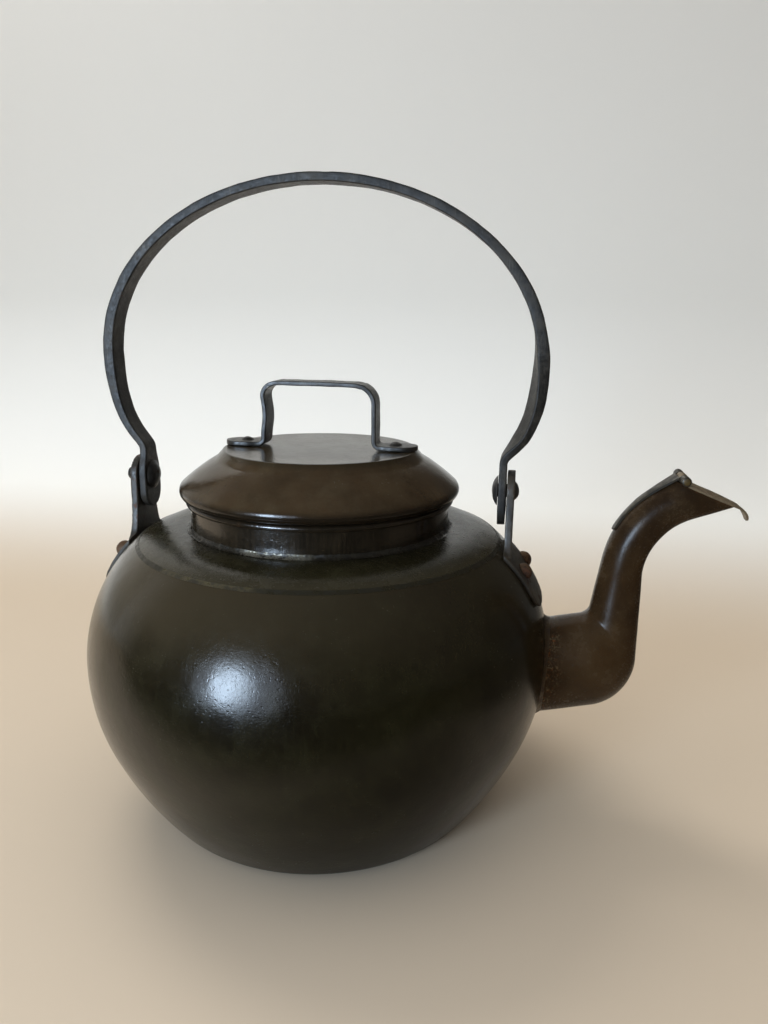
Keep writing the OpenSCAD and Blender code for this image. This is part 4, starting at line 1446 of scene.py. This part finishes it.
# %% Scratches
scratches, n, given, give = effect("scratches", {"Amount": 1.0}, {"Mask": "Float"})
total = None
for turn, stretch in ((0.5, 34), (1.9, 46), (2.7, 28)):
    lay = n.node("Mapping", {"Vector": n.place(), "Rotation": (turn, 0.4 * turn, turn),
                             "Scale": (1, 1, 1 / stretch)})
    line = n.node("TexVoronoi", {"Vector": lay, "Scale": 420.0}, "Distance", feature="DISTANCE_TO_EDGE")
    thin = n.span(line, 0.0, 0.02, 1.0, 0.0)
    here = n.times(thin, n.span(n.noise(11, 2, 0.5, turn=turn * 3), 0.54, 0.62))
    total = here if total is None else n.math("MAXIMUM", total, here)
give("Mask", n.times(total, given["Amount"]))
print("scratches:", len(scratches.nodes), "nodes")

# %% [markdown]
# Upright rub marks come from the lid sliding in the neck and from cloths. Round
# the pot they depend on the angle alone, so the place is written in the pot's
# own round coordinates: the angle, the height and the radius.

# %% Rub marks
rubbed, n, given, give = effect("rub_marks", {"Width": 2.0, "Length": 40.0}, {"Mask": "Float"})
x, y, z = n.xyz()
angle = n.math("ARCTAN2", y, x)
down = n.math("DIVIDE", n.times(n.plus(z, n.reach(x, y)), 1 / mm), given["Length"])
round_mm = 80
rows = []
for factor in (1.0, 0.37):
    across = n.math("DIVIDE", n.times(angle, round_mm / factor), given["Width"])
    place = n.node("CombineXYZ", {0: across, 1: down, 2: 0.0})
    rows.append(n.node("TexNoise", {"Vector": place, "Scale": 1.0, "Detail": 3.0, "Roughness": 0.6}))
give("Mask", n.span(n.times(n.plus(rows[0], rows[1]), 0.5), 0.42, 0.62))
print("rub marks:", len(rubbed.nodes), "nodes")

# %% [markdown]
# Edges lose their scale and patina first. The renderer knows how convex each
# point of a mesh is, and noise breaks the worn band into patches.

# %% Worn edges
worn, n, given, give = effect("worn_edges", {"Start": 0.52, "End": 0.60}, {"Mask": "Float"})
sharp = n.node("NewGeometry", output="Pointiness")
broken = n.times(n.minus(n.noise(4.0, 4, 0.65), 0.5), 0.08)
limits = {1: given["Start"], 2: given["End"], 3: 0.0, 4: 1.0}
give("Mask", n.node("MapRange", {0: n.plus(sharp, broken), **limits}))
print("worn edges:", len(worn.nodes), "nodes")

# %% [markdown]
# Rust starts in specks, spreads to blotches and is dull, rough and a little
# raised. It gives a mask, a colour from yellow-brown to dark red-brown, and a
# height.

# %% Rust
rust, n, given, give = effect(
    "rust", {"Amount": 0.5}, {"Mask": "Float", "Colour": "Color", "Height": "Float"})
field = n.plus(n.noise(9, 5, 0.68, turn=4.4), n.times(n.noise(1.6, 3, 0.6), 0.22))
limit = n.minus(0.88, n.times(given["Amount"], 0.34))
mask = n.span(n.minus(field, limit), 0.0, 0.09)
give("Mask", mask)
old_rust, young_rust = rgb(46, 31, 21), rgb(88, 56, 35)
give("Colour", n.blend(n.span(n.noise(2.2, 4, 0.7, turn=7.0), 0.35, 0.65), old_rust, young_rust))
give("Height", n.times(n.times(mask, n.noise(0.9, 3, 0.7)), 0.08))
print("rust:", len(rust.nodes), "nodes")

# %% [markdown]
# ### From effects to materials
# A surface takes its colour, roughness and height from the groups and its
# gloss from constants: patina is a thin, hard, glassy layer over copper, so it
# reflects like dark glass, weakly when seen straight on and strongly at a
# slant. Heights are in millimetres.

# %% Materials
def surface(name):
    material = bpy.data.materials.new(name)
    material.use_nodes = True
    tree = material.node_tree
    shader = tree.nodes["Principled BSDF"]
    return material, Net(tree), shader


def use(net, group, output, **inputs):
    """One output of a group, whose node is added the first time it is asked for."""
    for made in net.tree.nodes:
        if made.type == "GROUP" and made.node_tree == group and made.label == str(inputs):
            return made.outputs[output]
    made = net.tree.nodes.new("ShaderNodeGroup")
    made.node_tree = group
    made.label = str(inputs)
    for key, value in inputs.items():
        made.inputs[key].default_value = value
    return made.outputs[output]


def raised(net, shader, height):
    """Connects a height in millimetres as a bump."""
    bump = net.node("Bump", {"Height": height, "Distance": mm, "Strength": 1.0})
    net.tree.links.new(bump, shader.inputs["Normal"])


def link(net, shader, **sockets):
    """Connects networks to the shader's sockets, and sets plain numbers on them."""
    for key, value in sockets.items():
        socket = shader.inputs[key.replace("_", " ")]
        if isinstance(value, bpy.types.NodeSocket):
            net.tree.links.new(value, socket)
        else:
            socket.default_value = value


def stained(net, shader, share, colour):
    """Lays one more colour over a finish, where its share says so."""
    tone = shader.inputs["Base Color"].links[0].from_socket
    link(net, shader, Base_Color=net.blend(share, tone, colour))

# %% [markdown]
# ### Copper
# Each copper piece has its own three shades. The bowl has a painted sheen: a
# lighter, browner band below the seam, strongest on the left, that stands in for
# the bright wall's reflection, and the shoulder has the same painted shade
# towards the seam. The lid is painted near-black low on its edge, as the shade
# under its turned rim, and its flat top has gone greyer.

# %% Copper finishes
def copper(name, ground, dark, pale, smooth_at=0.16, glassy=1.75, streaks=0.0, wear=0.35):
    """Patinated copper in one shade. glassy is its index of refraction."""
    material, n, shader = surface(name)
    shades = {"Ground": ground, "Dark": dark, "Pale": pale}
    tone = use(n, patina, "Colour", **shades)
    rough = n.plus(use(n, patina, "Roughness", **shades), smooth_at)
    if streaks:
        tone = n.blend(n.times(use(n, rubbed, "Mask"), streaks), tone, pale)
    lines = use(n, scratches, "Mask")
    edge = n.times(use(n, worn, "Mask", Start=0.53, End=0.62), wear)
    tone = n.blend(n.times(lines, 0.35), tone, pale)
    tone = n.blend(edge, tone, rgb(150, 96, 62))
    link(n, shader, Base_Color=tone, Roughness=rough, Metallic=n.times(edge, 0.8), IOR=glassy)
    raised(n, shader, n.plus(use(n, patina, "Height", **shades), n.times(lines, -0.006)))
    return material, n, shader


body_finish, n, shader = copper(
    "copper_body_finish", rgb(25, 22, 10), rgb(19, 15, 7), rgb(40, 37, 20), 0.14, 1.44,
    streaks=0.12, wear=0.03)
x, y, z = n.xyz()
cloudy_z = n.plus(z, n.times(n.noise(30, 4, 0.6), 0.03))
# Painted sheen: a lighter, browner band below the seam, strongest on the left, painted in for the bright
# wall's reflection.
painted_wall_sheen = n.times(n.span(cloudy_z, 0.135, 0.180), n.span(x, -0.10, 0.12, 0.9, 0.3))
stained(n, shader, painted_wall_sheen, rgb(59, 51, 37))

seam_shade_w = 13
shoulder_finish, n, shader = copper(
    "copper_shoulder_finish", rgb(33, 30, 15), rgb(23, 20, 10), rgb(54, 50, 31), 0.22, 1.48, wear=0.03)
x, y, z = n.xyz()
seam_r = shoulder_start.x
# Painted sheen: the same lighter shade towards the seam, so the bowl's painted band runs on across it.
painted_seam_sheen = n.span(n.reach(x, y), (seam_r - seam_shade_w) * mm, seam_r * mm, 0.0, 0.7)
stained(n, shader, painted_seam_sheen, rgb(55, 49, 34))

neck_finish, *_ = copper(
    "copper_neck_finish", rgb(27, 22, 15), rgb(17, 13, 9), rgb(54, 44, 31), 0.11, 1.62, streaks=0.4)

lid_finish, n, shader = copper(
    "copper_lid_finish", rgb(65, 50, 33), rgb(46, 36, 23), rgb(78, 66, 47), 0.13, 1.47)
height = n.xyz()[2]
stained(n, shader, n.span(height, (lid_z - 4) * mm, (lid_z - 1.2) * mm, 0.0, 0.5), rgb(38, 34, 23))
# Painted shade: near-black low on the lid's edge, for the shade under its turned rim.
painted_rim_shade = n.span(height, (lid_rim.y - 1) * mm, (lid_rim.y + 4) * mm, 0.8, 0.0)
stained(n, shader, painted_rim_shade, rgb(14, 11, 8))

inside_finish, *_ = copper(
    "copper_inside_finish", rgb(84, 74, 58), rgb(52, 44, 34), rgb(130, 122, 104), 0.3)
print("nodes in the bowl's finish:", len(body_finish.node_tree.nodes))

# %% [markdown]
# The spout is redder. Near its root a smear of solder and flux runs up the
# tube in patches, tin-grey with orange spots. It falls off with the distance
# from the bowl, which is measured from a ball about the bowl's widest place.
# Heights count for more there, because the bowl is a little flat.

# %% Spout's finish
spout_finish, n, shader = copper(
    "copper_spout_finish", rgb(60, 43, 25), rgb(38, 27, 17), rgb(78, 62, 42), 0.21, 1.5, wear=0.15)
shader.inputs["Specular IOR Level"].default_value = 0.165
flatness = 1.25
x, y, z = n.xyz()
from_ball = n.node("CombineXYZ", {0: x, 1: y, 2: n.times(n.minus(z, belly_z * mm), flatness)})
gap = n.minus(n.node("VectorMath", {0: from_ball}, "Value", operation="LENGTH"), (body_r + 0.5) * mm)
uneven = n.times(n.minus(n.noise(3.2, 4, 0.7), 0.5), 0.012)
smear = n.span(n.plus(gap, uneven), 0.002, 0.011, 1.0, 0.0)
smear = n.times(smear, n.span(n.noise(1.4, 3, 0.6, turn=8.0), 0.42, 0.64))
smear = n.times(smear, n.span(n.noise(7.0, 3, 0.6, turn=4.0), 0.40, 0.62, 0.1, 1.0))
spots = n.span(n.noise(2.4, 3, 0.6, turn=9.0), 0.46, 0.6)
solder_tone = n.blend(spots, rgb(124, 110, 84), rgb(140, 86, 44))
stained(n, shader, n.times(smear, 0.8), solder_tone)
print("nodes in the spout's finish:", len(spout_finish.node_tree.nodes))

# %% [markdown]
# Tin and solder are pale, grainy metal with grime in the hollows. Braze is
# brass: a dull yellow line with bright and dark grains. Both rings run right
# round the pot. They are bright metal only in a painted glint sector on the side
# that faces the window, and dark with dirt elsewhere.

# %% Tin, braze and brass
def soft_metal(name, bright, grime, dirt, rough, grain_size=0.9, bump=0.07, gleam=0.75):
    """Grainy metal with a share of grime. gleam is how metallic its clean places are."""
    material, n, shader = surface(name)
    beads = n.noise(grain_size, 3, 0.6)
    cloud = n.noise(5.5, 4, 0.65, turn=2.0)
    dull = n.times(n.span(n.plus(cloud, n.times(beads, 0.4)), 0.56, 0.86), dirt)
    tone = n.blend(dull, bright, grime)
    link(n, shader, Base_Color=tone, Metallic=n.times(n.minus(1.0, dull), gleam),
         Roughness=n.plus(n.times(dull, 0.25), rough))
    raised(n, shader, n.times(n.plus(beads, n.times(cloud, 2.0)), bump))
    return material


def bright_in_glint_sector(material, azimuth, low, high, dirt):
    """Bright metal only in a painted glint sector, on the side that faces the window, and dirt elsewhere."""
    n, shader = Net(material.node_tree), material.node_tree.nodes["Principled BSDF"]
    aim = toward(azimuth)
    x, y, z = n.xyz()
    side = n.math("DIVIDE", n.plus(n.times(x, aim.x), n.times(y, aim.y)), n.reach(x, y))
    side = n.plus(side, n.times(n.minus(n.noise(5.0, 4, 0.7), 0.5), 0.06))
    # Painted glint: bright metal only in the sector that faces the window, dark dirt round the rest.
    clean = n.span(side, low, high, 0.04, 1.0)
    shine = shader.inputs["Metallic"].links[0].from_socket
    tone = shader.inputs["Base Color"].links[0].from_socket
    link(n, shader, Metallic=n.times(clean, shine), Base_Color=n.blend(clean, dirt, tone))


tin_finish = soft_metal("tin_finish", rgb(150, 144, 128), rgb(34, 28, 20), 1.0, 0.2)
root_finish = soft_metal("root_solder_finish", rgb(96, 82, 62), rgb(58, 42, 27), 1.0, 0.34)
# Painted glints on the tin and the braze, each in the sector that faces the window.
bright_in_glint_sector(tin_finish, -95, 0.955, 0.99, rgb(30, 25, 17))
braze_finish = soft_metal("braze_finish", rgb(86, 78, 56), rgb(40, 34, 21), 1.0, 0.25, 1.0, 0.05, 0.3)
bright_in_glint_sector(braze_finish, -108, 0.945, 0.985, rgb(34, 30, 17))
leaf_finish = soft_metal("leaf_finish", rgb(66, 58, 44), rgb(32, 27, 19), 1.0, 0.3, 1.6, 0.03, 0.4)
flap_finish = soft_metal("flap_finish", rgb(138, 121, 96), rgb(72, 60, 45), 0.6, 0.36, 1.6, 0.03, 0.4)
brass_finish = soft_metal("brass_finish", rgb(104, 86, 52), rgb(44, 35, 22), 1.0, 0.3, 1.0, 0.02, 0.5)

# %% [markdown]
# Forged iron keeps a blue-black scale. Hands and the ears have rubbed it to
# grey on the edges, rust comes through in spots, and it is pitted all over.

# %% Iron
def iron(name, scale_tone, pale_tone, bare_tone, rusting, rough=0.42, edges=(0.52, 0.60), wear=0.8,
         glassy=1.6):
    """Forged iron in one shade. edges is how convex a point is where wear starts and ends."""
    material, n, shader = surface(name)
    cloud = n.noise(14, 5, 0.62, turn=1.0)
    fine_cloud = n.noise(2.2, 4, 0.7, turn=3.0)
    pale = n.span(n.plus(cloud, n.times(fine_cloud, 0.45)), 0.62, 0.92)
    tone = n.blend(n.times(pale, 0.75), scale_tone, pale_tone)
    edge = n.times(use(n, worn, "Mask", Start=edges[0], End=edges[1]), wear)
    flecks = n.span(n.noise(1.1, 3, 0.7, turn=9.0), 0.58, 0.70, 0.0, 0.55)
    tone = n.blend(flecks, tone, pale_tone)
    lines = use(n, scratches, "Mask", Amount=0.6)
    bare = n.math("MAXIMUM", edge, n.times(lines, 0.5))
    tone = n.blend(bare, tone, bare_tone)
    rusty = use(n, rust, "Mask", Amount=rusting)
    tone = n.blend(rusty, tone, use(n, rust, "Colour", Amount=rusting))
    clean = n.minus(1.0, rusty)
    link(n, shader, Base_Color=tone, Metallic=n.times(n.times(bare, clean), 0.8), IOR=glassy,
         Roughness=n.plus(n.times(rusty, 0.3), n.span(fine_cloud, 0.3, 0.7, rough - 0.08, rough + 0.1)))
    pits = n.times(n.span(n.noise(1.2, 3, 0.6, turn=5.0), 0.56, 0.72), -0.07)
    ripple = n.times(fine_cloud, 0.09)
    raised(n, shader, n.plus(n.plus(pits, ripple), use(n, rust, "Height", Amount=rusting)))
    return material


bail_finish = iron("bail_iron_finish", rgb(28, 25, 21), rgb(62, 57, 49), rgb(122, 117, 108),
                   0.25, 0.5, (0.555, 0.66), glassy=1.45)
strap_finish = iron("strap_iron_finish", rgb(30, 27, 23), rgb(66, 62, 55), rgb(160, 154, 143),
                    0.3, 0.36, (0.565, 0.67), glassy=1.5)
ear_finish = iron("ear_iron_finish", rgb(48, 43, 36), rgb(76, 66, 51), rgb(104, 95, 82), 0.6, 0.46)
pivot_finish = iron("pivot_iron_finish", rgb(30, 29, 28), rgb(56, 53, 48), rgb(100, 96, 90),
                    0.4, 0.46, glassy=1.55)
rivet_finish = iron("rivet_iron_finish", rgb(80, 56, 33), rgb(110, 78, 48), rgb(124, 100, 76),
                    0.7, 0.55, wear=0.3, glassy=1.45)
wire_finish = iron("wire_iron_finish", rgb(46, 44, 42), rgb(80, 74, 66), rgb(130, 124, 116), 0.8)
rove_finish = soft_metal("rove_copper_finish", rgb(120, 84, 60), rgb(60, 44, 32), 1.0, 0.4)
print("nodes in the swing handle's finish:", len(bail_finish.node_tree.nodes))

# %% [markdown]
# ## Dressing the solid
# Every new piece gets its finish, hides its solid and rides on the solid's
# body. Hidden pieces keep their solids and only get a finish.

# %% Pieces, solids, bodies and finishes
def dress(piece, node, body, finish):
    piece.data.materials.clear()
    piece.data.materials.append(finish)
    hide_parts(node)
    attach(piece, body)


dress(bowl, "bowl", "pot", body_finish)
dress(shoulder, "shoulder", "pot", shoulder_finish)
dress(braze, "shoulder_braze", "pot", braze_finish)
dress(neck, "neck", "pot", neck_finish)
dress(neck_tin, "neck_solder", "pot", tin_finish)
dress(spout, "spout", "pot", spout_finish)
dress(root_tin, "spout_solder", "pot", root_finish)
dress(leaf, "flap_saddle", "pot", leaf_finish)
dress(hinge_pin, "flap_pin", "pot", brass_finish)
dress(ear_front, "ear_front", "pot", ear_finish)
dress(ear_rear, "ear_rear", "pot", ear_finish)
dress(ear_rivets[0], "ear_rivets_front", "pot", rivet_finish)
dress(ear_rivets[1], "ear_rivets_rear", "pot", rivet_finish)
dress(pivot_front, "pivot_front", "pot", pivot_finish)
dress(pivot_rear, "pivot_rear", "pot", pivot_finish)
dress(bail, "bail", "bail", bail_finish)
dress(lid, "lid_shell", "lid", lid_finish)
dress(grip, "lid_handle", "lid", strap_finish)
dress(lid_rivets, "lid_rivets", "lid", strap_finish)
dress(flap, "spout_flap", "flap", flap_finish)
hidden = {"rim_wire": wire_finish, "ear_roves_front": rove_finish, "ear_roves_rear": rove_finish,
          "lid_collar": inside_finish, "lid_solder": tin_finish, "lid_roves": rove_finish}
for node, finish in hidden.items():
    nodes[node].data.materials.clear()
    nodes[node].data.materials.append(finish)
print("hidden pieces that keep their solids:", len(hidden))

# %% [markdown]
# ## Floor, wall and light
# The pot stands on a pale, plain floor that curves up into a lighter wall. The
# room is what the patina mirrors: a bright wall behind and on the left, a dim
# ceiling, and a dark side where the camera stands. So the floor is pale all
# over, but in reflections it looks dark far in front of the pot and on its
# right. A lamp sees no such difference, and the floor keeps the pot's shadow.

# %% Stage
floor_half = 6.0
wall_y = 1.15
wall_top = 2.4
cove_r = 0.35
side_profile = [(-2.6, 0), (-1.2, 0), (-0.4, 0), (0.3, 0), (wall_y - cove_r, 0)]
side_profile += [(wall_y - cove_r + cove_r * math.sin(a), cove_r - cove_r * math.cos(a))
                 for a in (math.pi / 2 * i / 24 for i in range(1, 25))]
side_profile += [(wall_y, wall_top)]
corners, faces = [], []
for y, z in side_profile:
    corners += [(-floor_half, y, z), (floor_half, y, z)]
for i in range(len(side_profile) - 1):
    faces.append((2 * i, 2 * i + 1, 2 * i + 3, 2 * i + 2))
backdrop = finished("backdrop", corners, faces, 60)

stage_finish, n, shader = surface("plain_backdrop")
x, y, z = n.xyz()
back = n.span(y, 0.25, 0.85)
mirrored = n.node("LightPath", output="Is Glossy Ray")
near_edge = n.span(y, -0.31, -0.12, 1.0, 0.0)
right_side = n.span(x, 0.08, 0.46, 0.0, 0.9)
right_front = n.times(n.span(x, -0.12, 0.12, 0.0, 0.75), n.span(y, -0.16, 0.0, 1.0, 0.0))
far_side = n.math("MAXIMUM", right_side, right_front)
far_front = n.times(n.math("MAXIMUM", near_edge, far_side), mirrored)
floor_tone, wall_tone, dark_tone = rgb(208, 190, 167), rgb(247, 246, 241), rgb(42, 38, 28)
stage_tone = n.blend(far_front, n.blend(back, floor_tone, wall_tone), dark_tone)
link(n, shader, Base_Color=stage_tone, Roughness=0.9)
shader.inputs["Specular IOR Level"].default_value = 0.1
backdrop.data.materials.append(stage_finish)
backdrop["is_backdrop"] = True
print("backdrop:", len(backdrop.data.vertices), "points")

# %% [markdown]
# The world is one soft room with three faces. It lights the pot gently from
# above on the left, shows the copper a pale wall in a dim room, and is a plain
# pale grey where the camera looks past the backdrop.

# %% Room
world = bpy.data.worlds.new("soft_room")
bpy.context.scene.world = world
world.use_nodes = True
n = Net(world.node_tree)
way = n.node("TexCoord", output="Generated")
height = n.node("SeparateXYZ", {0: way}).node.outputs[2]


def facing(x, y, z, low, high):
    """How far a direction faces (x, y, z), as a share between two limits."""
    aim = tuple(Vector((x, y, z)).normalized())
    return n.span(n.node("VectorMath", {0: way, 1: aim}, "Value", operation="DOT_PRODUCT"), low, high)


dim_side, light_side = (0.10, 0.10, 0.10, 1), (1.1, 1.1, 1.1, 1)
dark_room, pale_wall = (0.055, 0.05, 0.045, 1), (0.80, 0.80, 0.79, 1)
soft = n.blend(facing(-0.5, 0.45, 0.75, -0.35, 0.9), dim_side, light_side)
bright_wall = n.times(facing(-0.5, 0.87, 0, 0.3, 0.8), n.span(height, 0.35, 0.85, 1.0, 0.12))
mirror_room = n.blend(bright_wall, dark_room, pale_wall)
path = n.node("LightPath").node.outputs
room = n.blend(path["Is Glossy Ray"], soft, mirror_room)
room = n.blend(path["Is Camera Ray"], room, rgb(228, 227, 222))
background = world.node_tree.nodes["Background"]
world.node_tree.links.new(room, background.inputs["Color"])
print("room:", len(world.node_tree.nodes), "nodes")

# %% [markdown]
# Daylight comes from a window in front on the left: a bright, bluish middle, a
# dimmer frame round it, and a wide faint glow that the copper mirrors but that
# lights nothing dull. A wide panel washes the wall, and isn't mirrored.

# %% Lights
def panel(name, azimuth, elevation, distance, width, height, power, colour, target=(0, 0, 0.13)):
    """An area light, aimed at the middle of the pot or at another point. It stands
    in that direction from the point, in degrees, at that distance."""
    data = bpy.data.lights.new(name, "AREA")
    data.shape = "ELLIPSE"
    data.size, data.size_y = width, height
    data.energy = power
    data.color = colour
    obj = bpy.data.objects.new(name, data)
    a, e = math.radians(azimuth), math.radians(elevation)
    target = Vector(target)
    outward_way = Vector((math.cos(e) * math.cos(a), math.cos(e) * math.sin(a), math.sin(e)))
    obj.location = target + distance * outward_way
    obj.rotation_euler = (target - obj.location).to_track_quat("-Z", "Y").to_euler()
    bpy.context.scene.collection.objects.link(obj)
    return obj


panel("window_sky", -116, 9, 1.25, 0.27, 0.46, 6.6, (0.63, 0.80, 1.0))
panel("window_frame", -114.5, 8, 1.28, 0.44, 0.66, 6.0, (0.62, 0.79, 1.0))
glow = panel("window_glow", -113, 8, 1.32, 0.95, 1.0, 5.5, (0.70, 0.82, 1.0))
glow.visible_diffuse = False
wash = panel("wall_wash", 150, 58, 1.9, 1.8, 1.2, 37, (1.0, 0.99, 0.97), (-0.05, 0.7, 0.45))
wash.visible_glossy = False
print("lights:", [light.name for light in bpy.data.lights])
bpy.context.scene.view_settings.view_transform = "Standard"

# %% [markdown]
# ## Sizes
# The box of the dressed pot is compared with the box of the solid model: the
# last line prints how far each corner departs, in millimetres, and finishes the scene.

# %% Compare and finish
dressed_low, dressed_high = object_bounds()
for label, solid, dressed in (("low", solid_low, dressed_low), ("high", solid_high, dressed_high)):
    print(label, "corner departs by mm:", [round((d - s) * 1000, 2) for s, d in zip(solid, dressed)])
